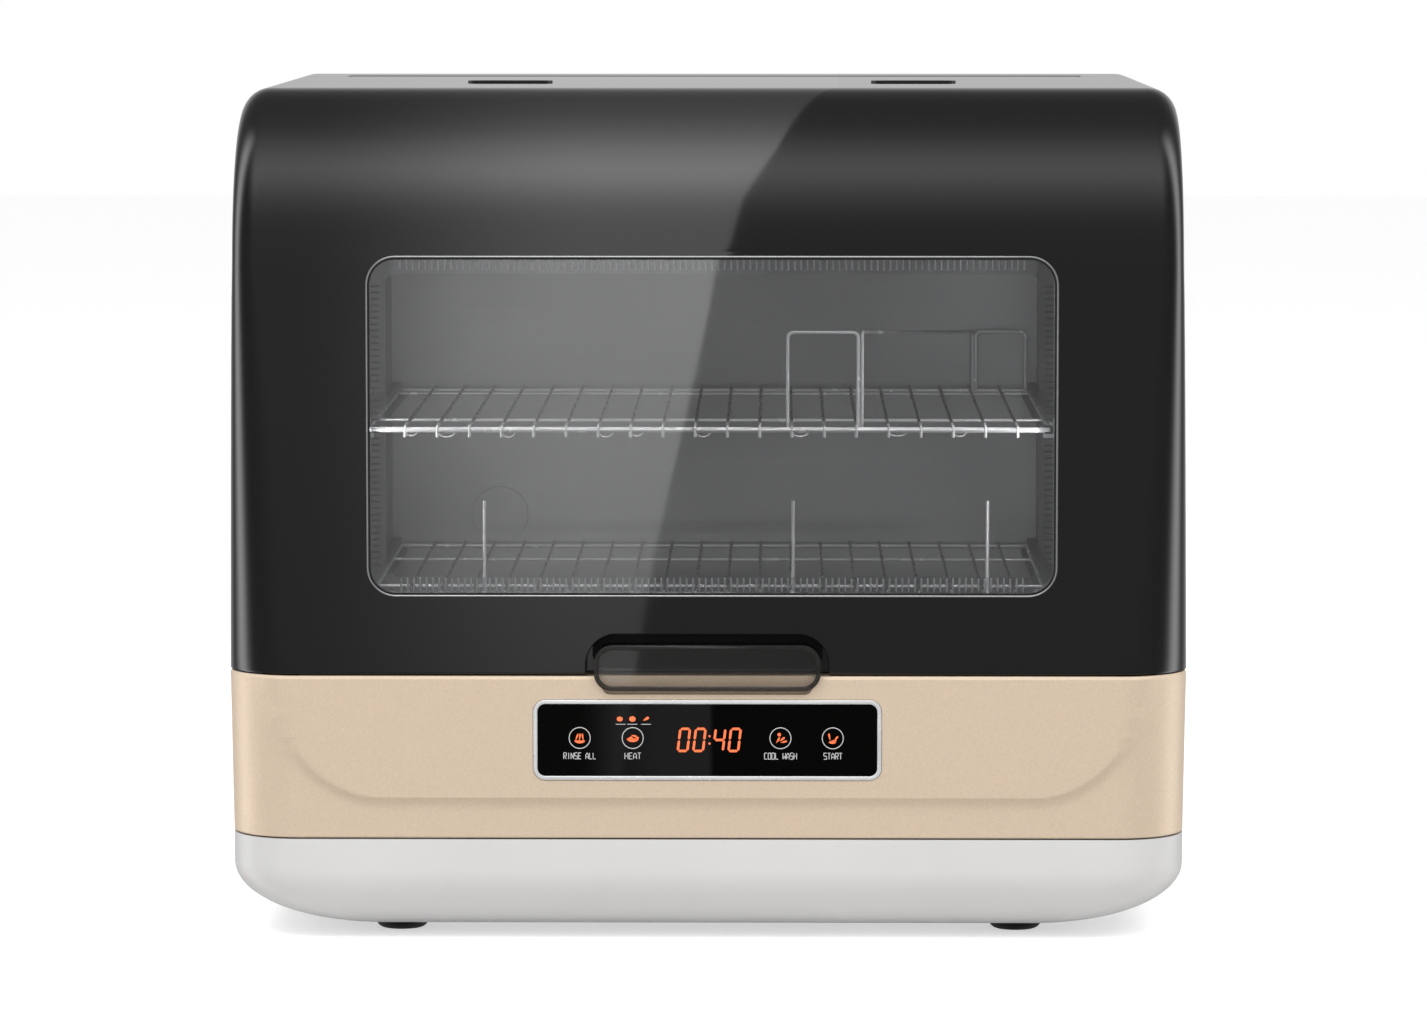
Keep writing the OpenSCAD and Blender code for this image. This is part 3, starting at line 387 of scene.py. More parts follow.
def satinMetallic(name, colour, roughness, metallic):
    # sprayed metallic: flakes that differ in tone over a soft clear layer
    material, tree, shader = startMaterial(name)
    coords = objectCoords(tree)
    flakes = addNode(tree, "TexVoronoi", {"Scale": 1900, "Vector": coords})
    splitter = addNode(tree, "SeparateColor", {"Color": flakes.outputs["Color"]})
    flakeTone = stretchRange(tree, splitter.outputs["Red"], fromLow=0, fromHigh=1)
    clouds = noiseOf(tree, coords, 9, 3)
    setSockets(shader, {
        "Base Color": tintBy(tree, flakeTone, colour, 0.95, 1.05),
        "Metallic": metallic,
        "Roughness": stretchRange(tree, clouds, roughness * 0.9, roughness * 1.1),
        "Coat Weight": 0.12, "Coat Roughness": 0.22, "Specular IOR Level": 0.30,
    })
    raiseBump(tree, shader, splitter.outputs["Green"], 0.000006, 0.10)
    return material


def brushedSteel(name, colour, roughness, scale=260, lineDepth=1.0):
    # long fine scratches from left to right
    material, tree, shader = startMaterial(name)
    lines = noiseOf(tree, objectCoords(tree, (0.02, 1, 1)), scale, 4, 0.7)
    broad = noiseOf(tree, objectCoords(tree), 7, 3)
    setSockets(shader, {
        "Base Color": tintBy(tree, stretchRange(tree, lines), colour,
            1 - 0.14 * lineDepth, 1 + 0.08 * lineDepth),
        "Metallic": 0.9,
        "Roughness": stretchRange(tree, broad, roughness * 0.85, roughness * 1.2),
    })
    raiseBump(tree, shader, lines, 0.00004 * lineDepth, 0.25)
    return material


def polishedChrome(name, colour, roughness):
    material, tree, shader = startMaterial(name)
    drift = noiseOf(tree, objectCoords(tree), 35, 3)
    scratches = noiseOf(tree, objectCoords(tree, (1, 0.1, 1)), 900, 2)
    setSockets(shader, {
        "Base Color": tintBy(tree, stretchRange(tree, drift), colour, 0.94, 1.04),
        "Metallic": 1.0,
        "Roughness": stretchRange(tree, drift, roughness * 0.7, roughness * 1.4),
    })
    raiseBump(tree, shader, scratches, 0.000002, 0.05)
    return material


def wireChrome(name, colour, roughness, metallic):
    # plated wire: a clean bright skin that varies only slightly
    material, tree, shader = startMaterial(name)
    drift = noiseOf(tree, objectCoords(tree), 60, 3)
    setSockets(shader, {
        "Base Color": tintBy(tree, stretchRange(tree, drift), colour, 0.93, 1.05),
        "Metallic": metallic,
        "Roughness": stretchRange(tree, drift, roughness * 0.85, roughness * 1.2),
    })
    return material


def smokedPane(name, tint, gloss, haze=None, bend=1.62):
    # see-through sheet with a sharp surface, kept simple so that light passes it
    material, tree, shader = startMaterial(name)
    tree.nodes.remove(shader)
    wipe = noiseOf(tree, objectCoords(tree), 18, 4)
    clear = addNode(tree, "BsdfTransparent", {"Color": (*tint, 1)})
    shine = addNode(tree, "BsdfGlossy", {
        "Color": (1, 1, 1, 1), "Roughness": stretchRange(tree, wipe, gloss * 0.6, gloss * 1.4)})
    fresnel = addNode(tree, "Fresnel", {"IOR": bend})
    last = mixShaders(tree, fresnel.outputs["Fac"], clear.outputs["BSDF"], shine.outputs["BSDF"])
    if haze:
        # a thin film that scatters a little light
        film = addNode(tree, "BsdfDiffuse", {"Color": (*haze["colour"], 1)})
        veil = stretchRange(tree, wipe, haze["low"], haze["high"])
        last = mixShaders(tree, veil, last, film.outputs["BSDF"])
    setSockets(tree.nodes["Material Output"], {"Surface": last})
    return material


def darkGlass(name, colour):
    # black glass with a quiet surface; a clear coat covers a band just left of the middle and stops
    # at a sharp edge right of it: a painted reflection edge
    paintedReflection = {"from": -0.064, "full": -0.016, "fall": 0.0, "end": 0.0035, "rest": 0.06}
    material, tree, shader = startMaterial(name)
    coords = objectCoords(tree)
    x = splitAxes(tree, coords)["X"]
    rise = stretchRange(tree, x, 0, 1, paintedReflection["from"], paintedReflection["full"], "SMOOTHSTEP")
    fall = stretchRange(tree, x, 1, paintedReflection["rest"], paintedReflection["fall"], paintedReflection["end"], "SMOOTHSTEP")
    specks = stretchRange(tree, noiseOf(tree, coords, 1800, 2))
    setSockets(shader, {
        "Base Color": tintBy(tree, specks, colour, 0.7, 1.3),
        "Roughness": 0.05, "Specular IOR Level": 0.03,
        "Coat Weight": addMath(tree, "MULTIPLY", rise, fall), "Coat Roughness": 0.02,
    })
    return material


def glowing(name, colour, strength):
    # marks with an even glow over a slightly mottled ink; on the printed white rings and captions
    # this glow is painted brightness
    material, tree, shader = startMaterial(name)
    mottle = stretchRange(tree, noiseOf(tree, objectCoords(tree), 2200, 2))
    tint = tintBy(tree, mottle, colour, 0.85, 1)
    setSockets(shader, {"Base Color": tint, "Emission Color": tint,
        "Emission Strength": strength, "Roughness": 0.45})
    return material


recipes = {
    "lidBlack": (glossyLacquer, (0.0056, 0.0056, 0.0056), 0.018),
    "sideBlack": (glossyLacquer, (0.0080, 0.0080, 0.0086), 0.16),
    "champagne": (satinMetallic, (0.722, 0.582, 0.441), 0.50, 0.24),
    "baseGrey": (mouldedPlastic, (0.66, 0.655, 0.65), 0.42, 0.02),
    "bezelSilver": (wireChrome, (0.88, 0.88, 0.885), 0.26, 0.50),
    "trimSilver": (polishedChrome, (0.70, 0.70, 0.71), 0.20),
    "panelGlass": (darkGlass, (0.0012, 0.0012, 0.0011)),
    "rackChrome": (wireChrome, (0.95, 0.95, 0.95), 0.24, 0.35),
    # the rack's cross wires: the same wire as the rims, made much darker: painted shade
    "rackShade": (wireChrome, (0.14, 0.14, 0.14), 0.28, 0.85),
    "tubSteel": (brushedSteel, (0.36, 0.36, 0.36), 0.45, 260, 0.25),
    "filterSteel": (brushedSteel, (0.58, 0.59, 0.60), 0.36, 420),
    "heaterSteel": (brushedSteel, (0.42, 0.40, 0.37), 0.40, 500),
    "linerBlack": (mouldedPlastic, (0.030, 0.030, 0.032), 0.50),
    "rearPlastic": (mouldedPlastic, (0.020, 0.020, 0.022), 0.55, 0.10, 700, 0.00006),
    "innerGrey": (mouldedPlastic, (0.16, 0.17, 0.18), 0.50),
    "runnerGrey": (mouldedPlastic, (0.18, 0.185, 0.19), 0.48),
    "whitePlastic": (mouldedPlastic, (0.70, 0.69, 0.66), 0.45, 0.03),
    "milkyPlastic": (mouldedPlastic, (0.50, 0.53, 0.54), 0.38, 0.05),
    "pumpBlack": (mouldedPlastic, (0.040, 0.042, 0.048), 0.50),
    "boardGreen": (mouldedPlastic, (0.010, 0.085, 0.035), 0.35, 0.25),
    "motorPaint": (satinMetallic, (0.16, 0.17, 0.18), 0.42, 0.3),
    "magnetGrey": (mouldedPlastic, (0.055, 0.055, 0.060), 0.60),
    "screwSteel": (polishedChrome, (0.58, 0.58, 0.59), 0.28),
    "footRubber": (softRubber, (0.014, 0.014, 0.015)),
    "gasketRubber": (softRubber, (0.030, 0.030, 0.032)),
    "ribClear": (mouldedPlastic, (0.70, 0.71, 0.72), 0.25),
    "ribDark": (mouldedPlastic, (0.10, 0.10, 0.105), 0.40),
    "sealClear": (smokedPane, (0.86, 0.865, 0.87), 0.10),
    "windowGlass": (smokedPane, (0.84, 0.845, 0.85), 0.012,
        {"colour": (0.55, 0.55, 0.56), "low": 0.010, "high": 0.022}),
    "tabClear": (smokedPane, (0.985, 0.98, 0.975), 0.02, None, 1.40),
    "tabRim": (smokedPane, (0.50, 0.485, 0.47), 0.05,
        {"colour": (0.05, 0.048, 0.045), "low": 0.20, "high": 0.26}, 1.50),
    # matt black for the sheet in the handle pocket: painted shade
    "flatBlack": (mouldedPlastic, (0.008, 0.008, 0.008), 0.75),
    "digitOrange": (glowing, (0.90, 0.17, 0.055), 0.50),
    # printed white marks that glow: painted brightness
    "markWhite": (glowing, (0.55, 0.55, 0.55), 0.18),
    "ventBlack": (mouldedPlastic, (0.010, 0.010, 0.011), 0.45),
}
finishes = {name: make(name, *values) for name, (make, *values) in recipes.items()}
print("finishes ready:", len(finishes))


# studio: camera, lamps, room and floor

camera = {
    "place": (0.0350, -3.208, 0.4924), "pitch": 5.335, "yaw": 0.611, "lens": 155.97,
    "sensor": 36, "far": 100,
}
lamps = {
    "keyLamp": {"place": (-1.2, -1.3, 2.5), "aim": (0, -0.1, 0.2), "size": 1.4, "power": 42},
    "fillLamp": {"place": (1.4, -1.4, 2.3), "aim": (0, -0.1, 0.2), "size": 1.4, "power": 30},
    "tubTopLamp": {"place": (0, -0.172, 0.358), "aim": (0, 0.02, 0.20),
        "size": 0.32, "high": 0.024, "power": 0.035},
    "tubLowLamp": {"place": (0, -0.168, 0.142), "aim": (0, 0.10, 0.185),
        "size": 0.30, "high": 0.016, "power": 0.040},
    "rackLamp": {"place": (0, -0.1975, 0.332), "aim": (0, -0.168, 0.20),
        "size": 0.31, "high": 0.008, "power": 0.032, "beam": 75},
    "tubLeftLamp": {"place": (-0.164, -0.192, 0.25), "aim": (0.06, 0, 0.24),
        "size": 0.012, "high": 0.14, "power": 0.045},
    "tubRightLamp": {"place": (0.164, -0.192, 0.25), "aim": (-0.06, 0, 0.24),
        "size": 0.012, "high": 0.14, "power": 0.045},
    "frontLamp": {"place": (0, -3.0, 0.6), "aim": (0, 0, 0.2), "size": 1.4, "power": 9},
}
# degrees turn about the left-right axis: the front horizon at 0, the zenith at 90
room = {
    "diffuse": 0.50, "floorWhite": 0.80, "floorGlow": 0.55, "floorSize": 14, "sidesFrom": 0.30,
    "sidesFull": 0.80,
    # brightness of the soft box and backdrop by degrees
    "sweep": (
        (-180, 0.56), (-150, 0.56), (-90, 0.40), (-45, 0.20), (-20, 0.24), (-9, 0.29),
        (10, 0.29), (30, 0.34), (46, 0.85), (60, 1.55), (72, 1.45), (88, 0.62), (102, 0.28),
        (125, 0.12), (155, 0.10), (168, 0.44), (180, 0.56)),
    # brightness of the tall strips beside the object, by the share of a half turn from the front
    "strip": (
        (0.0, 0.30), (0.30, 0.22), (0.42, 0.20), (0.49, 0.70), (0.55, 3.00), (0.61, 3.20),
        (0.67, 0.90), (0.73, 0.15), (0.85, 0.20), (1.0, 0.56)),
    # the left panel: where its edge lies, by degrees
    "lean": (
        (-30, -0.075), (-7, -0.0236), (-6.5, -0.0228), (-6.1, -0.0214), (-5.6, -0.0196),
        (-4.3, -0.0143), (-3, -0.0088), (5, -0.0082), (43, -0.0056), (82, 0.0), (170, 0.0088)),
    "leanScale": 5, "panelEdge": 0.0004,
    "panelFade": {"low": 0.08, "from": -0.080, "to": -0.028},
    # it stands in front and overhead only, and shines most beside the soft box
    "ahead": (
        (-180, 0.001), (-60, 0.001), (-20, 0.30), (-8, 0.62), (-7.2, 0.60), (-6.8, 0.40),
        (-6.3, 0.44), (-5.6, 0.74), (-4.3, 1.12), (0, 1.45), (16, 1.40), (30, 1.45),
        (43, 1.70), (58, 2.60), (73, 2.35), (92, 1.40), (113, 0.50), (140, 0.10),
        (180, 0.001)),
}

camData = bpy.data.cameras.new("mainCamera")
camData.sensor_width = camera["sensor"]
camData.lens = camera["lens"]
camData.clip_end = camera["far"]
mainCamera = bpy.data.objects.new("mainCamera", camData)
mainCamera.location = camera["place"]
mainCamera.rotation_euler = (radians(90 - camera["pitch"]), 0, radians(camera["yaw"]))
bpy.context.collection.objects.link(mainCamera)
scene.camera = mainCamera

for name, lamp in lamps.items():
    light = bpy.data.lights.new(name, "AREA")
    light.shape = "RECTANGLE"
    light.size = lamp["size"]
    light.size_y = lamp.get("high", lamp["size"])
    light.energy = lamp["power"]
    light.spread = radians(lamp.get("beam", 180))
    holder = bpy.data.objects.new(name, light)
    holder.location = lamp["place"]
    way = Vector(lamp["aim"]) - Vector(lamp["place"])
    holder.rotation_euler = way.to_track_quat("-Z", "Y").to_euler()
    holder.visible_glossy = "high" in lamp
    holder.visible_camera = False
    bpy.context.collection.objects.link(holder)


def shareOf(degrees):
    # -180..180 degrees as 0..1
    return (degrees + 180) / 360


def curveOf(tree, value, stops):
    # smooth lookup: value in 0..1 to a grey level, levels kept under 1 and scaled after
    ramp = addNode(tree, "ValToRGB", {"Fac": value})
    ramp.color_ramp.interpolation = "B_SPLINE"
    peak = max(level for _, level in stops)
    steps = ramp.color_ramp.elements
    while len(steps) < len(stops):
        steps.new(0.5)
    for step, (spot, level) in zip(steps, stops):
        step.position = spot
        step.color = (level / peak,) * 3 + (1,)
    return addMath(tree, "MULTIPLY", ramp.outputs["Color"], peak)


def turnCurve(tree, share, stops):
    return curveOf(tree, share, [(shareOf(degrees), level) for degrees, level in stops])


def leanOf(tree, share):
    # place of the left panel's edge: straight lines between its points
    lean = addNode(tree, "FloatCurve", {"Value": share})
    line = lean.mapping.curves[0].points
    while len(line) < len(room["lean"]):
        line.new(0.5, 0.5)
    for point, (degrees, offset) in zip(line, room["lean"]):
        point.location = (shareOf(degrees), 0.5 + offset * room["leanScale"])
        point.handle_type = "VECTOR"
    lean.mapping.update()
    middle = addMath(tree, "SUBTRACT", lean.outputs["Value"], 0.5)
    return addMath(tree, "DIVIDE", middle, room["leanScale"])


def evenGlow(tree, strength):
    glow = addNode(tree, "Background", {"Strength": strength, "Color": (1, 1, 1, 1)})
    return glow.outputs["Background"]


def buildRoom():
    # white to the camera, soft and even for the light, and for shine a studio with
    # a pale backdrop, a soft box above and one large panel on the left of the front
    world = bpy.data.worlds.new("studio")
    scene.world = world
    world.use_nodes = True
    tree = world.node_tree
    tree.nodes.clear()
    x, y, z = splitAxes(tree, addNode(tree, "TexCoord").outputs["Generated"])
    front = addMath(tree, "MULTIPLY", y, -1)
    turn = addMath(tree, "ARCTAN2", z, front)
    share = addMath(tree, "ADD", addMath(tree, "DIVIDE", turn, 2 * pi), 0.5)
    side = addMath(tree, "ABSOLUTE", x)
    around = addMath(tree, "DIVIDE", addMath(tree, "ARCTAN2", side, front), pi)
    wide = stretchRange(tree, side, 0, 1, room["sidesFrom"], room["sidesFull"], "SMOOTHSTEP")
    inside = addMath(tree, "SUBTRACT", leanOf(tree, share), x)
    flag = stretchRange(tree, inside, 0, 1, 0, room["panelEdge"])
    fading = room["panelFade"]
    fade = stretchRange(tree, x, fading["low"], 1, fading["from"], fading["to"], "SMOOTHSTEP")
    panel = addMath(tree, "MULTIPLY", addMath(tree, "MULTIPLY", flag, fade),
        turnCurve(tree, share, room["ahead"]))
    mixer = addNode(tree, "Mix", {
        "Factor": wide, "A": addMath(tree, "ADD", turnCurve(tree, share, room["sweep"]), panel),
        "B": curveOf(tree, around, room["strip"])})
    rays = addNode(tree, "LightPath").outputs
    lit = mixShaders(tree, rays["Is Glossy Ray"], evenGlow(tree, room["diffuse"]),
        evenGlow(tree, mixer.outputs["Result"]))
    seen = addMath(tree, "MAXIMUM", rays["Is Camera Ray"], rays["Is Transmission Ray"])
    addNode(tree, "OutputWorld", {"Surface": mixShaders(tree, seen, lit, evenGlow(tree, 1.0))})
    world.cycles.sampling_method = "NONE"


def buildFloor():
    bpy.ops.mesh.primitive_plane_add(size=room["floorSize"], location=(0, 1.5, -0.0001))
    floor = bpy.context.object
    floor.name = "floor"
    material, tree, shader = startMaterial("floorPaper")
    grain = stretchRange(tree, noiseOf(tree, objectCoords(tree), 60, 3))
    setSockets(shader, {
        "Base Color": tintBy(tree, grain, (room["floorWhite"],) * 3, 1, 1.01),
        "Roughness": 0.9, "Specular IOR Level": 0.1,
    })
    seen = addNode(tree, "LightPath").outputs["Is Camera Ray"]
    glow = addNode(tree, "Emission", {
        "Strength": addMath(tree, "MULTIPLY", seen, room["floorGlow"])})
    adder = addNode(tree, "AddShader", {0: shader.outputs["BSDF"], 1: glow.outputs["Emission"]})
    setSockets(tree.nodes["Material Output"], {"Surface": adder.outputs["Shader"]})
    floor.data.materials.append(material)
    floor.visible_glossy = False


buildRoom()
buildFloor()
scene.view_settings.view_transform = "Standard"
print("studio ready")


# the lid's outer skin

lid = {
    "brow": 0.085, "edge": 0.014, "corner": 0.034, "draft": 0.0038, "skirt": 0.032, "wall": 0.003,
    "endBehindFront": 0.3225, "earX": 0.1957, "earReach": 0.0178, "axis": (0.124, 0.4046),
    "windowGap": 0.0019, "rowsFront": 26, "rowsBrow": 26, "rowsTop": 14, "flatColumns": 36,
    "arcColumns": 10, "skirtColumns": 4, "edgeRound": 0.0006, "seam": 0.0008, "flatWithin": 0.05,
    "earOut": 0.08, "earStep": 0.004, "ventX": 0.104, "ventGap": 0.0003, "ventRound": 0.0069,
    "windowRound": 0.0007,
}
pocket = {
    "halfWidth": 0.0593, "top": 0.1521, "round": 0.015, "depth": 0.012, "wall": 0.0025,
    "lip": 0.0014, "lipReach": 0.0005, "lipFrom": 0.0013, "cupIn": 0.0015,
}
window = {"width": 0.3334, "height": 0.1630, "z": 0.2538, "round": 0.0125, "x": 0.0022,
    "reachX": 0.006, "reachZ": 0.003}

shellLow, shellHigh = span("lid_shell")
frontY, lidBottom, lidTop = shellLow.y, shellLow.z, shellHigh.z
baseHalf = max(abs(cadBox[0][0]), abs(cadBox[1][0]))
fasciaTop = lidBottom - lid["seam"]
browZ = lidTop - lid["brow"]
browY = frontY + lid["brow"]
edgeLine = lid["brow"] - lid["edge"]


def sideHalf(y, z):
    # half width of the body's drafted side at a place
    deepIn = y - frontY
    top = browZ
    if deepIn >= lid["brow"]:
        top = browZ + edgeLine
    elif deepIn > lid["edge"]:
        top = browZ + sqrt(max(0.0, edgeLine ** 2 - (lid["brow"] - deepIn) ** 2))
    return baseHalf - lid["draft"] * max(0.0, min(1.0, (z - fasciaTop) / (top - fasciaTop)))


def lidLine():
    # the middle line from the lower edge over the brow to the hinge: place and inward way
    stations = [(Vector((frontY + lid["edgeRound"], lidBottom)), Vector((1, 0)))]
    for i in range(lid["rowsFront"]):
        start = lidBottom + 2 * lid["edgeRound"]
        stations.append((Vector((frontY, start + (browZ - start) * i / lid["rowsFront"])),
            Vector((1, 0))))
    for i in range(lid["rowsBrow"] + 1):
        a = pi / 2 * i / lid["rowsBrow"]
        inward = Vector((cos(a), -sin(a)))
        stations.append((Vector((browY, browZ)) - inward * lid["brow"], inward))
    endY = frontY + lid["endBehindFront"]
    for i in range(1, lid["rowsTop"] + 1):
        stations.append((Vector((browY + (endY - browY) * i / lid["rowsTop"], lidTop)),
            Vector((0, -1))))
    return stations


def skirtProfile(station):
    # points across the lid at one station, from the left skirt over the front to the right one
    spot, inward = station
    share = max(0.0, min(1.0, (spot.y - fasciaTop) / (browZ - fasciaTop)))
    radius = lid["corner"] + (lid["edge"] - lid["corner"]) * share

    def halfAt(depth):
        at = spot + inward * depth
        return sideHalf(at.x, at.y)
    centre = halfAt(radius) - radius
    # even steps along the straight skirt and the corner's arc, which may start part way round
    straight = max(0.0, lid["skirt"] - radius)
    bend = acos(max(0.0, 1 - lid["skirt"] / radius)) if radius > lid["skirt"] else pi / 2
    steps = lid["skirtColumns"] + lid["arcColumns"]
    right = []
    for i in range(steps):
        run = (straight + radius * bend) * (1 - i / steps)
        if run > radius * bend:
            depth = radius + run - radius * bend
            right.append((halfAt(depth), depth))
        else:
            right.append((centre + radius * sin(run / radius), radius * (1 - cos(run / radius))))
    flat = [(centre - 2 * centre * i / lid["flatColumns"], 0.0)
        for i in range(lid["flatColumns"] + 1)]
    across = right + flat + [(-x, depth) for x, depth in reversed(right)]
    return [Vector((x, spot.x + inward.x * depth, spot.y + inward.y * depth))
        for x, depth in across]


def pocketForm(name, grow, y0, y1):
    high = pocket["top"] - lidBottom + grow
    return roundedSlab(name, 2 * (pocket["halfWidth"] + grow), 2 * high, pocket["round"] + grow,
        y0, y1, lidBottom, segments=12)


def buildLid():
    skin = loftRings("lid_skin", [skirtProfile(station) for station in lidLine()])
    faceOut(skin, (0, frontY, 0.2), (0, -1, 0))
    applyModifier(skin, "SOLIDIFY", thickness=lid["wall"], offset=-1, use_even_offset=True)
    editAll(skin, bpy.ops.mesh.dissolve_limited, angle_limit=radians(lid["flatWithin"]))
    # the pocket's cup joins the back of the skin, then the pocket is cut through both
    cup = pocketForm("cup", pocket["wall"], frontY + pocket["cupIn"],
        frontY + pocket["depth"] + pocket["wall"])
    below = addBlock("below", (-1, -1, -0.1), (1, 1, lidBottom))
    cutAway(cup, below)
    combine(skin, cup, "UNION")
    cutAway(skin, pocketForm("hollow", 0, frontY - 0.01, frontY + pocket["depth"]))
    hole = roundedSlab("hole", window["width"] + 2 * lid["windowGap"],
        window["height"] + 2 * lid["windowGap"],
        window["round"] + lid["windowGap"], frontY - 0.01, frontY + 0.01, window["z"], window["x"],
        segments=12)
    cutAway(skin, hole)
    # room for the hinge's ears at both ends
    axisY, axisZ = lid["axis"]
    for side in (-1, 1):
        edge = side * lid["earX"]
        out = edge + side * lid["earOut"]
        left, right = min(edge, out), max(edge, out)
        reach = lid["earReach"]
        cutAway(skin, addRod("earRod", reach, (edge, axisY, axisZ), (out, axisY, axisZ), 64),
            addBlock("earBox", (left, axisY - reach, 0), (right, 0.3, axisZ)),
            addBlock("earTop", (left, axisY - lid["earStep"], axisZ - 0.01), (right, 0.3, 0.5)))
    ventLow, ventHigh = span("steam_vents")
    wide = ventHigh.x - lid["ventX"] + lid["ventGap"]
    for side in (-1, 1):
        middle = side * lid["ventX"]
        slot = addBlock("slot", (middle - wide, ventLow.y - lid["ventGap"], lidTop - 0.01),
            (middle + wide, ventHigh.y + lid["ventGap"], lidTop + 0.01))
        roundEdges(slot, lambda a, b: abs(a.z - b.z) > 0.01, lid["ventRound"], 8)
        cutAway(skin, slot)

    def frontEdge(a, b, halfWide, low, high):
        # edges on the front face inside a region
        mid = (a + b) / 2
        onFront = max(abs(a.y - frontY), abs(b.y - frontY)) < near
        return onFront and abs(mid.x) < halfWide and low < mid.z < high
    halfWide = window["width"] / 2 + window["reachX"]
    halfHigh = window["height"] / 2 + window["reachZ"]
    roundEdges(skin, lambda a, b: frontEdge(a, b, halfWide, window["z"] - halfHigh,
        window["z"] + halfHigh), lid["windowRound"], 3)
    reach = pocket["lipReach"]
    roundEdges(skin, lambda a, b: frontEdge(a, b, pocket["halfWidth"] + reach,
        lidBottom + pocket["lipFrom"], pocket["top"] + reach), pocket["lip"], 4)
    recalcNormals(skin)
    smoothBy(skin, 32)
    steadyNormals(skin)
    finishPiece(skin, "lid", "lidBlack", ["lid_shell"])


buildLid()
print("lid ready")


# the champagne fascia

fascia = {
    "wall": 0.003, "draft": 0.0014, "corner": 0.034, "rearCorner": 0.020, "padHalf": 0.2155,
    "padBottom": 0.0716, "padRoundX": 0.056, "padRoundZ": 0.068, "padRise": 0.0019,
    "padSoft": 0.0072, "rows": 72, "frontColumns": 300, "arcColumns": 12, "sideColumns": 20,
    "rearHalf": 0.206, "notchHalf": 0.05145, "notchZ": 0.1228, "notchDepth": 0.0020,
    "lipHigh": 0.0014, "lipDeep": 0.0008, "footHigh": 0.0007, "footDeep": 0.0004,
    "padReach": 0.02, "holeGap": 0.0002, "deckIn": 0.0025, "deckDeep": 0.030, "deckHalf": 0.20,
    "deckHigh": 0.003, "deckDown": 0.00002, "notchWall": 0.0022, "notchRound": 0.004,
}
bezel = {"width": 0.1703, "height": 0.0396, "round": 0.006, "z": 0.1004, "rim": 0.0021}
fasciaLow, fasciaHigh = span("front_fascia")
rearY = fasciaHigh.y


def padDistance(x, z):
    # how far a place on the front lies inside the raised pad's outline
    cx = fascia["padHalf"] - fascia["padRoundX"]
    cz = fascia["padBottom"] + fascia["padRoundZ"]
    ax = abs(x)
    if ax > cx and z < cz:
        u, v = (ax - cx) / fascia["padRoundX"], (cz - z) / fascia["padRoundZ"]
        reach = hypot(u, v)
        size = hypot(ax - cx, cz - z) / reach if reach > tiny else fascia["padRoundX"]
        return (1 - reach) * size
    return min(fascia["padHalf"] - ax, z - fascia["padBottom"])


def fasciaPath(z):
    # half of the plan outline at a height, from the middle of the front to the rear edge
    half = baseHalf - fascia["draft"] * (fasciaHigh.z - z) / (fasciaHigh.z - fasciaLow.z)
    r, q = fascia["corner"], fascia["rearCorner"]
    n, k, m = fascia["frontColumns"] // 2, fascia["arcColumns"], fascia["sideColumns"]
    points = [((half - r) * i / n, frontY) for i in range(n)]
    points += [(half - r + r * sin(pi / 2 * i / k), frontY + r - r * cos(pi / 2 * i / k))
        for i in range(k)]
    points += [(half, frontY + r + (rearY - q - frontY - r) * i / m) for i in range(m)]
    points += [(half - q + q * cos(pi / 2 * i / k), rearY - q + q * sin(pi / 2 * i / k))
        for i in range(k + 1)]
    return points + [((half - q + fascia["rearHalf"]) / 2, rearY), (fascia["rearHalf"], rearY)]


def padRelief(x, z):
    # proud inside the outline; outside it falls off in a hollow sweep
    reach = padDistance(x, z) / fascia["padSoft"]
    if reach >= 0:
        return fascia["padRise"]
    return fascia["padRise"] * max(0.0, 1 + reach) ** 3


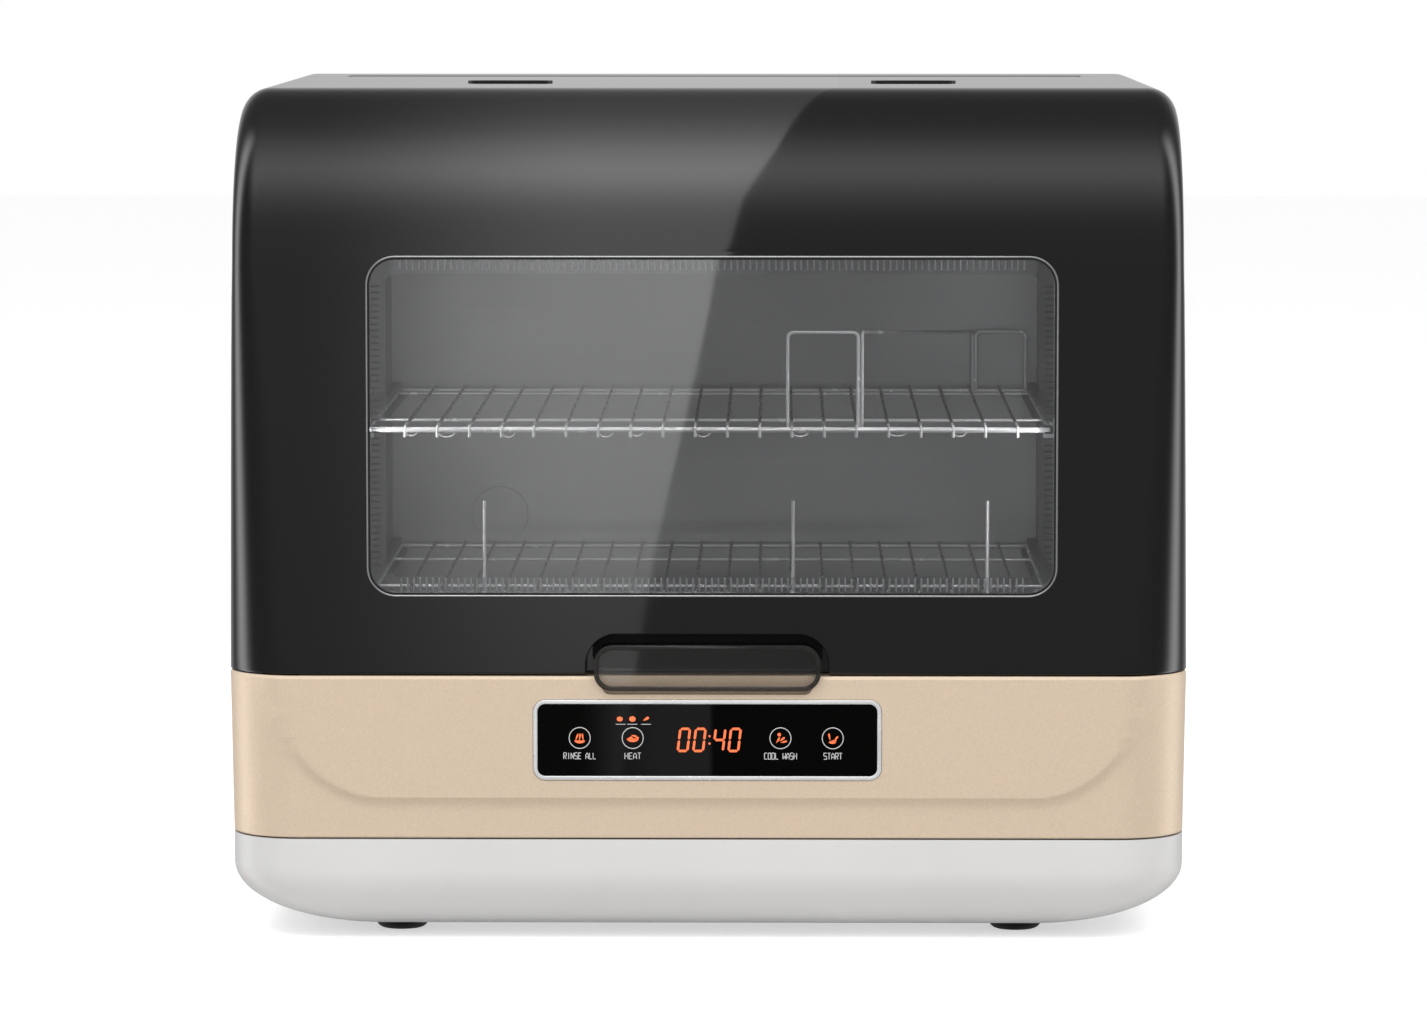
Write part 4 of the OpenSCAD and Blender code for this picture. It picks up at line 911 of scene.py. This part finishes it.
def buildFascia():
    low, high, rows = fasciaLow.z, fasciaHigh.z, fascia["rows"]
    lip = fascia["lipHigh"]
    start = low + fascia["footHigh"]
    levels = [low] + [start + (high - lip - start) * i / rows for i in range(rows + 1)] + [high]
    outlines = []
    for z in levels:
        half = fasciaPath(z)
        outlines.append([(-x, y, z) for x, y in reversed(half[1:])] + [(x, y, z) for x, y in half])
    rows = len(levels) - 1
    columns = len(outlines[0]) - 1

    def place(u, v):
        x, y, z = outlines[round(v * rows)][round(u * columns)]
        if y < frontY + fascia["padReach"]:
            y -= padRelief(x, z)
        return Vector((x, y, z))
    skin = loftSkin("fascia_skin", columns, rows, place)
    faceOut(skin, (0, frontY, 0.09), (0, -1, 0))
    drawn = []
    for vert in skin.data.vertices:
        # the upper and lower edges are drawn in, along each place's own inward way
        atTop, atFoot = vert.co.z > high - tiny, vert.co.z < low + tiny
        if atTop or atFoot:
            deep = fascia["lipDeep"] if atTop else fascia["footDeep"]
            way = Vector((vert.normal.x, vert.normal.y, 0)).normalized()
            drawn.append((vert.index, vert.co - way * deep))
    applyModifier(skin, "SOLIDIFY", thickness=fascia["wall"], offset=-1, use_even_offset=True)
    for index, spot in drawn:
        skin.data.vertices[index].co = spot
    gap, deckTop = fascia["holeGap"], fasciaHigh.z - fascia["deckDown"]
    cutAway(skin, roundedSlab("hole", bezel["width"] + 2 * gap, bezel["height"] + 2 * gap,
        bezel["round"] + gap,
        frontY - 0.02, frontY + 0.02, bezel["z"]))
    deckFront, across = frontY + fascia["deckIn"], fascia["deckHalf"]
    combine(skin, addBlock("deck", (-across, deckFront, fasciaHigh.z - fascia["deckHigh"]),
        (across, deckFront + fascia["deckDeep"], deckTop)), "UNION")
    half, deep, wall = fascia["notchHalf"], frontY + fascia["notchDepth"], fascia["notchWall"]
    combine(skin, addBlock("tray", (-half - wall, deckFront, fascia["notchZ"] - wall),
        (half + wall, deep + wall, deckTop)), "UNION")
    notch = addBlock("notch", (-half, frontY - 0.02, fascia["notchZ"]), (half, deep, 0.2))
    roundEdges(notch, lambda a, b: abs(a.y - b.y) > 0.02 and a.z < 0.13, fascia["notchRound"], 5)
    cutAway(skin, notch)
    recalcNormals(skin)
    finishPiece(skin, "cabinet", "champagne", ["front_fascia"], smooth=22)


buildFascia()
print("fascia ready")


# the pale base

base = {
    "bellyHeight": 0.031, "bellyWidth": 0.070, "frontRound": 0.034, "wall": 0.003, "rings": 16,
    "arc": 12, "corner": 0.034, "cornerLeast": 0.004, "cornerShrink": 0.6,
}
baseLow, baseHigh = span("base_tray")


def buildBase():
    # rings of the plan outline, drawn in towards the bottom; the ends round in wider than the front
    rings = []
    topHalf = baseHalf - fascia["draft"]
    steps = [0.0] + [pi / 2 * i / base["rings"] for i in range(base["rings"] + 1)]
    for i, a in enumerate(steps):
        z = baseHigh.z if i == 0 else baseLow.z + base["bellyHeight"] * (1 - sin(a))
        half = topHalf - base["bellyWidth"] * (1 - cos(a))
        inset = base["frontRound"] * (1 - cos(a))
        y0, y1 = frontY + inset, rearY - inset
        r = max(base["cornerLeast"], base["corner"] - inset * base["cornerShrink"])
        rearR = r if i else fascia["rearCorner"]
        ring = []
        for cx, cy, radius, start in ((half, y0, r, -90), (half, y1, rearR, 0),
                (-half, y1, rearR, 90), (-half, y0, r, 180)):
            sx, sy = (1 if cx > 0 else -1), (1 if cy > 0 else -1)
            for k in range(base["arc"] + 1):
                t = radians(start + 90 * k / base["arc"])
                ring.append(Vector((cx - sx * radius + radius * cos(t),
                    cy - sy * radius + radius * sin(t), z)))
        ring.append(ring[0].copy())
        rings.append(ring)
    shell = loftRings("base_shell", rings)
    editAll(shell, bpy.ops.mesh.remove_doubles, threshold=tiny)
    selectEdges(shell, lambda a, b: max(abs(a.z - baseLow.z), abs(b.z - baseLow.z)) < tiny)
    bpy.ops.mesh.edge_face_add()
    backToObject()
    faceOut(shell, (0, frontY, 0.045), (0, -1, 0))
    applyModifier(shell, "SOLIDIFY", thickness=base["wall"], offset=-1, use_even_offset=True)
    recalcNormals(shell)
    finishPiece(shell, "cabinet", "baseGrey", ["base_tray"], smooth=40)


buildBase()
print("base ready")


# the window: bead, black gap, ribbed seal

glazing = {
    "bead": 0.0009, "gap": 0.0009, "depth": 0.0044, "ribPitch": 0.0031, "ribWide": 0.0009,
    "ribLong": 0.0052, "ribLow": 0.0066, "ribSide": 0.0040, "proud": 0.00025, "beadBack": 0.0030,
    "beadRound": 0.00034, "channelIn": 0.0004, "slack": 0.0001, "strip": 0.0072,
    "ribFront": 0.0002, "ribBack": 0.0013, "ribRound": 0.00028, "ribInX": 0.0006,
    "ribInZ": 0.0004,
}
paneLow, paneHigh = span("window_pane")
sealLow, sealHigh = span("window_seal")


def buildWindow():
    wide, high, turn, slack = window["width"], window["height"], window["round"], glazing["slack"]
    outer = lid["windowGap"] - slack
    # polished bead round the outside, its front edges well rounded
    bead = ringSlab("window_bead", wide + 2 * outer, high + 2 * outer, turn + outer,
        glazing["bead"],
        frontY - glazing["proud"], frontY + glazing["beadBack"], window["z"], window["x"])
    roundEdges(bead, lambda a, b: max(a.y, b.y) < frontY - glazing["proud"] * 0.8,
        glazing["beadRound"], 3)
    finishPiece(bead, "lid", "trimSilver", ["window_trim"], smooth=40)
    inner = outer - glazing["bead"]
    gap = ringSlab("window_channel", wide + 2 * inner - 0.00004, high + 2 * inner - 0.00004,
        turn + inner, glazing["gap"],
        frontY + glazing["channelIn"], frontY + glazing["depth"], window["z"], window["x"])
    finishPiece(gap, "lid", "ventBlack", smooth=40)
    pane = roundedSlab("clear_pane", wide - 2 * slack, high - 2 * slack, turn, paneLow.y,
        paneHigh.y, window["z"], window["x"], 12)
    finishPiece(pane, "lid", "windowGlass", ["window_pane"], smooth=40)
    # the seal behind the pane: a clear strip with small ribs all round
    strip = ringSlab("seal_strip", wide - 2 * slack, high - 2 * slack, turn, glazing["strip"],
        sealLow.y + glazing["ribBack"] + slack, sealHigh.y, window["z"], window["x"])
    finishPiece(strip, "lid", "sealClear", ["window_seal"], smooth=40)

    def ribs(name, size, places, finish):
        halfX, halfZ = size[0] / 2, size[1] / 2
        rib = addBlock(name, (-halfX, sealLow.y + glazing["ribFront"], -halfZ),
            (halfX, sealLow.y + glazing["ribBack"], halfZ))
        roundEdges(rib, lambda a, b: True, glazing["ribRound"], 2)
        rib = spread(rib, [Matrix.Translation((x + window["x"], 0, z)) for x, z in places])
        finishPiece(rib, "lid", finish, smooth=50)
    pitch = glazing["ribPitch"]
    halfWide, halfHigh = wide / 2 - glazing["ribInX"], high / 2 - glazing["ribInZ"]
    count = int((wide / 2 - turn) / pitch)
    along = [i * pitch for i in range(-count, count + 1)]
    ribs("seal_ribs_top", (glazing["ribWide"], glazing["ribLong"]),
        [(x, window["z"] + halfHigh - glazing["ribLong"] / 2) for x in along], "ribClear")
    ribs("seal_ribs_bottom", (glazing["ribWide"], glazing["ribLow"]),
        [(x, window["z"] - halfHigh + glazing["ribLow"] / 2) for x in along], "ribClear")
    rise = int((high / 2 - turn) / pitch)
    ribs("seal_ribs_sides", (glazing["ribSide"], glazing["ribWide"]),
        [(side * (halfWide - glazing["ribSide"] / 2), window["z"] + i * pitch)
        for i in range(-rise, rise + 1) for side in (-1, 1)], "ribDark")


buildWindow()
print("window ready")


# the clear handle tab

tab = {
    "width": 0.1109, "height": 0.0225, "z": 0.13585, "round": 0.009, "front": -0.2120,
    "back": -0.2095, "rim": 0.0024, "raise": 0.0008, "flange": 0.0012, "rimRound": 0.0003,
    "film": 0.00002, "flangeIn": 0.0003, "flangeFrom": 0.0090, "shadeHigh": 0.0165,
    "shadeRound": 0.0070, "shadeUp": 0.0100, "shadeFront": 0.0006, "shadeBack": 0.00015,
    "shadeOver": 0.001,
}


def buildHandle():
    outline = (tab["width"], tab["height"], tab["round"])
    rim = ringSlab("tab_rim", *outline, tab["rim"], tab["front"], tab["front"] + tab["raise"],
        tab["z"])
    roundEdges(rim, lambda a, b: max(a.y, b.y) < tab["front"] + near, tab["rimRound"], 3)
    finishPiece(rim, "lid", "tabRim", ["lid_handle"], smooth=40)
    sheet = roundedSlab("tab_sheet", *outline, tab["front"] + tab["raise"] + tab["film"],
        tab["back"], tab["z"], segments=12)
    finishPiece(sheet, "lid", "tabClear", smooth=40)
    # a dark flange behind the upper half of the rim carries the tab
    inset, wallY = tab["flangeIn"], frontY + pocket["depth"]
    flange = ringSlab("tab_flange", tab["width"] - 2 * inset, tab["height"] - 2 * inset,
        tab["round"] - inset,
        tab["flange"], tab["back"] + tab["film"], wallY - 0.0002, tab["z"])
    below = addBlock("below", (-0.1, frontY - 0.05, tab["z"] - 0.05),
        (0.1, frontY + 0.05, lidBottom + tab["flangeFrom"]))
    cutAway(flange, below)
    finishPiece(flange, "lid", "ventBlack", smooth=40)
    # a matt black sheet on the pocket's rear wall: painted shade, which darkens the pocket and
    # keeps its reflections quiet
    shadeSheet = roundedSlab("pocket_shade_sheet", tab["width"] + 2 * tab["shadeOver"], tab["shadeHigh"],
        tab["shadeRound"],
        wallY - tab["shadeFront"], wallY - tab["shadeBack"], lidBottom + tab["shadeUp"])
    finishPiece(shadeSheet, "lid", "flatBlack", smooth=40)


buildHandle()
print("handle ready")


# the control strip: bezel, glass and its glowing marks

marks = {
    "thick": 0.00012, "ringX": (-0.06238, -0.03648, 0.03575, 0.06131), "ringZ": 0.1014,
    "ringRadius": 0.00515, "ringWire": 0.00022, "digitZ": (0.0951, 0.1060),
    "digitX": (-0.0138, 0.0158), "slant": 0.12, "segment": 0.0012, "captionZ": 0.0926,
    "captionHigh": 0.0030, "miniX": (-0.0424, -0.0366, -0.0300), "miniZ": 0.1108,
    "letterWide": 0.72, "stroke": 0.00034, "digitWide": 0.0047, "colonX": 0.0149,
    "colonRadius": 0.00055,
    # each digit: its group, its shift in the group and its lit bars
    "digits": (
        (0, 0, "abcdef"), (0, 0.0076, "abcdef"), (1, -0.0123, "bcfg"), (1, -0.0048, "abcdef")),
    # each word: its middle and its width
    "words": (
        ("RINSE ALL", -0.0624, 0.0162), ("HEAT", -0.0364, 0.0084),
        ("COOL WASH", 0.0358, 0.0162), ("START", 0.0614, 0.0094)),
    # the small marks over the second key: two discs as shift, radius and flatness, then a
    # leaf as length, width and turn
    "miniDiscs": ((-0.0004, 0.0015, 0.8), (0.0, 0.0016, 0.85)),
    "miniLeaf": (0.0034, 0.0022, 30),
    "rimBack": 0.0020, "rimRound": 0.0006, "dashHalf": 0.0024, "dashDown": 0.0026,
    "dashThick": 0.0003,
    # for each key: leaves as place, length, width and turn, then one disc as place, radius,
    # sides, flatness, start and sweep
    "pictograms": (
        (((-0.0015, 0.0002, 0.0042, 0.0012, 70), (0.0, 0.0002, 0.0042, 0.0012, 84),
            (0.0015, 0.0002, 0.0042, 0.0012, 98)), (0.0, -0.0012, 0.0026, 12, 0.55, pi, pi)),
        (((-0.0014, 0.0, 0.0030, 0.0016, 20), (0.0006, 0.0011, 0.0030, 0.0016, -15),
            (0.0017, -0.0004, 0.0030, 0.0016, 35)), (0.0, -0.0002, 0.0029, 12, 0.60, pi, pi)),
        (((-0.0012, -0.0010, 0.0034, 0.0015, 60), (0.0008, -0.0006, 0.0034, 0.0015, 40),
            (0.0016, -0.0018, 0.0034, 0.0015, 15)),
            (-0.0006, 0.0018, 0.0009, 10, 1.0, 0.0, 2 * pi)),
        (((-0.0016, 0.0006, 0.0038, 0.0013, 100), (0.0, -0.0014, 0.0038, 0.0013, 10),
            (0.0014, -0.0004, 0.0038, 0.0013, 50)), (-0.0002, -0.0018, 0.0018, 12, 0.5, pi, pi)),
    ),
}
glassFront, bezelFront = span("control_glass")[0].y, span("control_bezel")[0].y


def flatMark(name, polygons, finish):
    # thin raised marks from outlines in the XZ plane
    letGo()
    front = glassFront - marks["thick"] * 0.5
    points, faces = [], []
    for outline in polygons:
        start = len(points)
        points.extend((x, front, z) for x, z in outline)
        faces.append(tuple(range(start, start + len(outline))))
    mesh = bpy.data.meshes.new(name)
    mesh.from_pydata(points, [], faces)
    mark = bpy.data.objects.new(name, mesh)
    bpy.context.collection.objects.link(mark)
    applyModifier(mark, "SOLIDIFY", thickness=marks["thick"], offset=0)
    recalcNormals(mark, 1e-7)
    finishPiece(mark, "cabinet", finish)


def segmentBar(x0, z0, x1, z1, thick):
    # one lit bar with pointed ends
    along = Vector((x1 - x0, z1 - z0))
    along.normalize()
    side = Vector((-along.y, along.x)) * thick / 2
    tip = along * thick / 2
    a, b = Vector((x0, z0)) + tip * 0.25, Vector((x1, z1)) - tip * 0.25
    outline = [a, a + tip + side, b - tip + side, b, b - tip - side, a + tip - side]
    return [(p.x, p.y) for p in outline]


def digitBars(x, wide, low, high, lit):
    mid = (low + high) / 2
    spots = {
        "a": (0, high, wide, high), "b": (wide, high, wide, mid), "c": (wide, mid, wide, low),
        "d": (0, low, wide, low),
        "e": (0, mid, 0, low), "f": (0, high, 0, mid), "g": (0, mid, wide, mid),
    }
    bars = []
    for name in lit:
        x0, z0, x1, z1 = spots[name]
        bar = segmentBar(x + x0, z0, x + x1, z1, marks["segment"])
        bars.append([(px + (pz - mid) * marks["slant"], pz) for px, pz in bar])
    return bars


def disc(x, z, radius, sides=14, squash=1.0, start=0.0, sweep=2 * pi):
    return [(x + radius * cos(start + sweep * i / sides),
        z + squash * radius * sin(start + sweep * i / sides))
        for i in range(sides + (0 if sweep > 6 else 1))]


def leafMark(x, z, length, wide, turn):
    outline = []
    for i in range(12):
        a = 2 * pi * i / 12
        u, v = length / 2 * cos(a), wide / 2 * sin(a) * (0.55 + 0.45 * cos(a))
        outline.append((x + u * cos(turn) - v * sin(turn), z + u * sin(turn) + v * cos(turn)))
    return outline


def strokes(path, thick):
    bars = []
    for (x0, z0), (x1, z1) in zip(path, path[1:]):
        way = Vector((x1 - x0, z1 - z0))
        if way.length < tiny:
            continue
        way.normalize()
        side = Vector((-way.y, way.x)) * thick / 2
        bars.append([(x0 + side.x, z0 + side.y), (x1 + side.x, z1 + side.y),
            (x1 - side.x, z1 - side.y), (x0 - side.x, z0 - side.y)])
    return bars


# plain capitals on a grid 4 wide and 6 high: each stroke is a row of places, across then up
glyphs = {
    "A": "00 04 26 44 40, 02 42", "C": "46 06 00 40", "E": "46 06 00 40, 03 33",
    "H": "00 06, 40 46, 03 43",
    "I": "20 26", "L": "06 00 40", "N": "00 06 40 46", "O": "00 06 46 40 00",
    "R": "00 06 46 43 03, 13 40",
    "S": "46 06 03 43 40 00", "T": "06 46, 26 20", "W": "06 00 23 40 46",
}


def caption(word, xMid, z, wide, high):
    # a word fitted into a width, as thin strokes
    step = wide / len(word)
    bars = []
    for i, letter in enumerate(word):
        if letter == " ":
            continue
        x0 = xMid - wide / 2 + step * (i + (1 - marks["letterWide"]) / 2)
        for path in glyphs[letter].split(", "):
            places = [(int(u), int(v)) for u, v in path.split()]
            bars += strokes([(x0 + u / 4 * step * marks["letterWide"], z - high / 2 + v / 6 * high)
                for u, v in places],
                marks["stroke"])
    return bars


def buildPanel():
    # silver rim with a rounded front edge
    rim = ringSlab("bezel_rim", bezel["width"], bezel["height"], bezel["round"], bezel["rim"],
        bezelFront, frontY + marks["rimBack"], bezel["z"])
    roundEdges(rim, lambda a, b: max(a.y, b.y) < bezelFront + near, marks["rimRound"], 4)
    finishPiece(rim, "cabinet", "bezelSilver", ["control_bezel"], smooth=40)
    # white printed rings and captions, with a painted glow
    rings = []
    for x in marks["ringX"]:
        letGo()
        bpy.ops.mesh.primitive_torus_add(major_radius=marks["ringRadius"],
            minor_radius=marks["ringWire"], major_segments=56, minor_segments=8,
            location=(x, glassFront, marks["ringZ"]), rotation=(pi / 2, 0, 0))
        bpy.ops.object.transform_apply(location=True, rotation=True, scale=True)
        rings.append(bpy.context.object)
    ring = joinAll("button_rings", rings)
    finishPiece(ring, "cabinet", "markWhite", smooth=60)
    letters = []
    for word, x, wide in marks["words"]:
        letters += caption(word, x, marks["captionZ"], wide, marks["captionHigh"])
    for x in marks["miniX"]:
        down = marks["miniZ"] - marks["dashDown"]
        letters += strokes([(x - marks["dashHalf"], down), (x + marks["dashHalf"], down)],
            marks["dashThick"])
    flatMark("panel_captions", letters, "markWhite")
    # orange digits and pictograms
    low, high = marks["digitZ"]
    bars = []
    for group, shift, lit in marks["digits"]:
        bars += digitBars(marks["digitX"][group] + shift, marks["digitWide"], low, high, lit)
    for z in ((low * 2 + high) / 3, (low + high * 2) / 3):
        bars.append(disc(marks["digitX"][0] + marks["colonX"], z, marks["colonRadius"], 10))
    z = marks["ringZ"]
    for x, (leaves, disk) in zip(marks["ringX"], marks["pictograms"]):
        for dx, dz, length, wide, turn in leaves:
            bars.append(leafMark(x + dx, z + dz, length, wide, radians(turn)))
        dx, dz, *form = disk
        bars.append(disc(x + dx, z + dz, *form))
    mini = marks["miniZ"]
    for x, (shift, radius, flat) in zip(marks["miniX"], marks["miniDiscs"]):
        bars.append(disc(x + shift, mini, radius, 12, flat))
    length, wide, turn = marks["miniLeaf"]
    bars.append(leafMark(marks["miniX"][2], mini, length, wide, radians(turn)))
    flatMark("panel_lights", bars, "digitOrange")


buildPanel()
print("control strip ready")


# rack wires: cross wires that end in small upright ticks on the front wire

racks = {
    "count": 20, "pitch": 0.01588, "shift": 0.0015, "wire": 0.0008, "rim": 0.0011,
    "frontY": -0.1728, "rearY": 0.0965, "tick": 0.0034, "bend": 0.0018, "bright": 0.024,
    "upper": 0.2494, "lower": 0.1656, "barY": -0.1621, "tineY": -0.1471,
    "tines": (-0.1116, 0.0419, 0.1385), "tineHigh": 0.0466,
    "curls": (0, 1, 3, 6, 7, 9, 12, 15, 17), "weld": 0.0001, "noseIn": 0.0003, "midY": 0.02,
    "curlWire": 0.00042, "curlDown": 0.0004, "archCorner": 0.0028, "barHalf": 0.1679,
    "tineRound": 0.0006, "curlWide": (0.006, 0.0006), "curlDip": (0.0026, 0.0002),
    # each arch: x, y and height of its first leg, then of its second one
    "arches": (
        (0.0392, "barY", 0.0476, 0.0739, "barY", 0.0476),
        (0.0759, "barY", 0.0476, 0.1385, "rearY", 0.0316),
        (0.1403, "rearY", 0.0316, 0.1668, "rearY", 0.0316)),
}


def wireFrom(name, path, radius, smoothness=2):
    # a round wire along a polyline, turned into a mesh
    letGo()
    curve = bpy.data.curves.new(name, "CURVE")
    curve.dimensions = "3D"
    curve.bevel_depth = radius
    curve.bevel_resolution = smoothness
    curve.use_fill_caps = True
    line = curve.splines.new("POLY")
    line.points.add(len(path) - 1)
    for point, spot in zip(line.points, path):
        point.co = (*spot, 1)
    wire = bpy.data.objects.new(name, curve)
    bpy.context.collection.objects.link(wire)
    pick(wire)
    bpy.ops.object.convert(target="MESH")
    return bpy.context.object


def buildRackWires(name, z, body, node):
    radius, rim = racks["wire"], racks["rim"]
    rest = z + rim + radius - racks["weld"]
    nose = racks["frontY"] - rim - radius + racks["noseIn"]
    bend = racks["bend"]
    turn = [(0, nose + bend - bend * sin(a), rest - bend + bend * cos(a))
        for a in (radians(k) for k in (0, 15, 35, 55, 75, 90))]
    middle = (racks["count"] - 1) / 2
    places = [Matrix.Translation(((i - middle) * racks["pitch"] + racks["shift"], 0, 0))
        for i in range(racks["count"])]
    run = [(0, racks["rearY"] + rim * 0.6, rest), (0, racks["midY"], rest),
        (0, nose + racks["bright"], rest)]
    # the cross wires, all but their front ends, take a darkened copy of the wire finish: painted
    # shade
    floor = spread(wireFrom(name + "_cross_wires", run, radius), places)
    finishPiece(floor, body, "rackShade", [node], smooth=60)
    tick = [(0, nose + racks["bright"], rest)] + turn + [(0, nose, z - racks["tick"])]
    ticks = [spread(wireFrom(name + "_ticks", tick, radius), places)]
    # the small loops between the ticks differ a little in width and depth
    leastWide, addWide = racks["curlWide"]
    leastDip, addDip = racks["curlDip"]
    for i in racks["curls"]:
        start = places[i].translation.x
        wide = leastWide + addWide * (i * 5 % 7)
        dip = leastDip + addDip * (i * 3 % 5)
        loop = [(start + wide * (1 - cos(t)) / 2, racks["frontY"] + rim + racks["curlDown"],
            z - racks["curlDown"] - dip * sin(t)) for t in (pi * k / 10 for k in range(11))]
        ticks.append(wireFrom("curl", loop, racks["curlWire"], 1))
    bright = joinAll(name + "_ticks", ticks)
    finishPiece(bright, body, "rackChrome", smooth=60)


upperBody = body_of(frame["nodes"]["upper_rack_floor"])[0]
lowerBody = body_of(frame["nodes"]["lower_rack_floor"])[0]
buildRackWires("upper_rack", racks["upper"], upperBody, "upper_rack_floor")
buildRackWires("lower_rack", racks["lower"], lowerBody, "lower_rack_floor")


def archPath(x0, y0, high0, x1, y1, high1, z):
    # up from the rack, along and down again, with rounded corners
    corner, length = racks["archCorner"], hypot(x1 - x0, y1 - y0)
    flat, deep = (x1 - x0) / length, (y1 - y0) / length

    def bend(x, y, high, way, order):
        turns = [(corner * (1 - cos(a)), corner * sin(a)) for a in (pi / 2 * k / 6 for k in order)]
        return [(x + way * flat * reach, y + way * deep * reach, z + high - corner + up)
            for reach, up in turns]
    rise, fall = bend(x0, y0, high0, 1, range(7)), bend(x1, y1, high1, -1, range(6, -1, -1))
    return [(x0, y0, z)] + rise + fall + [(x1, y1, z)]


def buildUprights():
    wire, low, top = racks["wire"], racks["lower"], racks["lower"] + racks["tineHigh"]
    arches = []
    for x0, first, high0, x1, second, high1 in racks["arches"]:
        path = archPath(x0, racks[first], high0, x1, racks[second], high1, racks["upper"])
        arches.append(wireFrom("arch", path, wire * 1.05, 3))
    arches = joinAll("upper_rack_arches", arches)
    finishPiece(arches, upperBody, "rackChrome", ["upper_rack_dividers"], smooth=60)
    y, reach = racks["tineY"], racks["barHalf"]
    tines = [wireFrom("tine_bar", [(-reach, y, low), (reach, y, low)], wire)]
    for x in racks["tines"]:
        tine = wireFrom("tine", [(x, y, low), (x, y, top)], wire * 1.15, 3)
        roundEdges(tine, lambda a, b: min(a.z, b.z) > top - near, racks["tineRound"], 3)
        tines.append(tine)
    tines = joinAll("lower_rack_posts", tines)
    finishPiece(tines, lowerBody, "rackChrome", ["lower_rack_tines"], smooth=60)


buildUprights()


duct = {
    "x": -0.115, "z": 0.182, "radius": 0.0150, "front": 0.1007, "back": 0.1014, "round": 0.0002,
    "stalkX": 0.0136, "stalkRadius": 0.0012, "stalkFront": 0.1013, "stalkBack": 0.1017,
}


def buildDuctBaffle():
    # a plain steel disc that stands just off the tub's rear wall before the warm air duct
    def rod(name, radius, x, front, back, sides):
        return addRod(name, radius, (x, front, duct["z"]), (x, back, duct["z"]), sides)
    baffle = rod("duct_baffle", duct["radius"], duct["x"], duct["front"], duct["back"], 64)
    roundEdges(baffle, lambda a, b: abs(a.y - b.y) < tiny, duct["round"], 2)
    stalks = [rod("baffle_stalk", duct["stalkRadius"], duct["x"] + dx, duct["stalkFront"],
        duct["stalkBack"], 16)
        for dx in (-duct["stalkX"], duct["stalkX"])]
    baffle = joinAll("duct_baffle", [baffle] + stalks)
    smoothBy(baffle, 30)
    steadyNormals(baffle)
    finishPiece(baffle, "cabinet", "tubSteel")


buildDuctBaffle()
print("racks ready")


# finishes of the frame's own pieces

nodeFinish = {
    "baseGrey": "base_tray",
    "footRubber": "feet",
    "champagne": "front_fascia",
    "sideBlack": "left_side_panel right_side_panel",
    "rearPlastic": "rear_panel power_inlet",
    "lidBlack": "rear_top_cover lid_shell hinge_barrel",
    "tubSteel": "tub",
    "gasketRubber": "tub_gasket",
    "runnerGrey": "upper_runners lower_runners spray_arm",
    "innerGrey": "sump filter_cup spindle fan_wheel",
    "filterSteel": "filter_plate",
    "heaterSteel": "heating_element duct_heater",
    "bezelSilver": "control_bezel",
    "panelGlass": "control_glass",
    "boardGreen": "display_board main_board",
    "pumpBlack": "wash_pump drain_pump fan_housing hinge_dampers lid_sensor",
    "whitePlastic": "wash_impeller drain_impeller inlet_valve leak_float",
    "motorPaint": "wash_motor hinge_brackets",
    "milkyPlastic": "feed_pipe drain_outlet fill_chamber float_guide",
    "magnetGrey": "catch_magnets",
    "screwSteel": "rear_screws hinge_pins lid_strikers",
    "linerBlack": "lid_liner",
    "windowGlass": "window_pane",
    "trimSilver": "window_trim",
    "sealClear": "window_seal",
    "tabRim": "lid_handle",
    "ventBlack": "steam_vents",
    "rackChrome": (
        "upper_rack_rim upper_rack_floor upper_rack_dividers lower_rack_rim lower_rack_floor "
        "lower_rack_tines"),
}
for finishName, nodeNames in nodeFinish.items():
    for nodeName in nodeNames.split():
        slots = frame["nodes"][nodeName].data.materials
        slots.clear()
        slots.append(finishes[finishName])
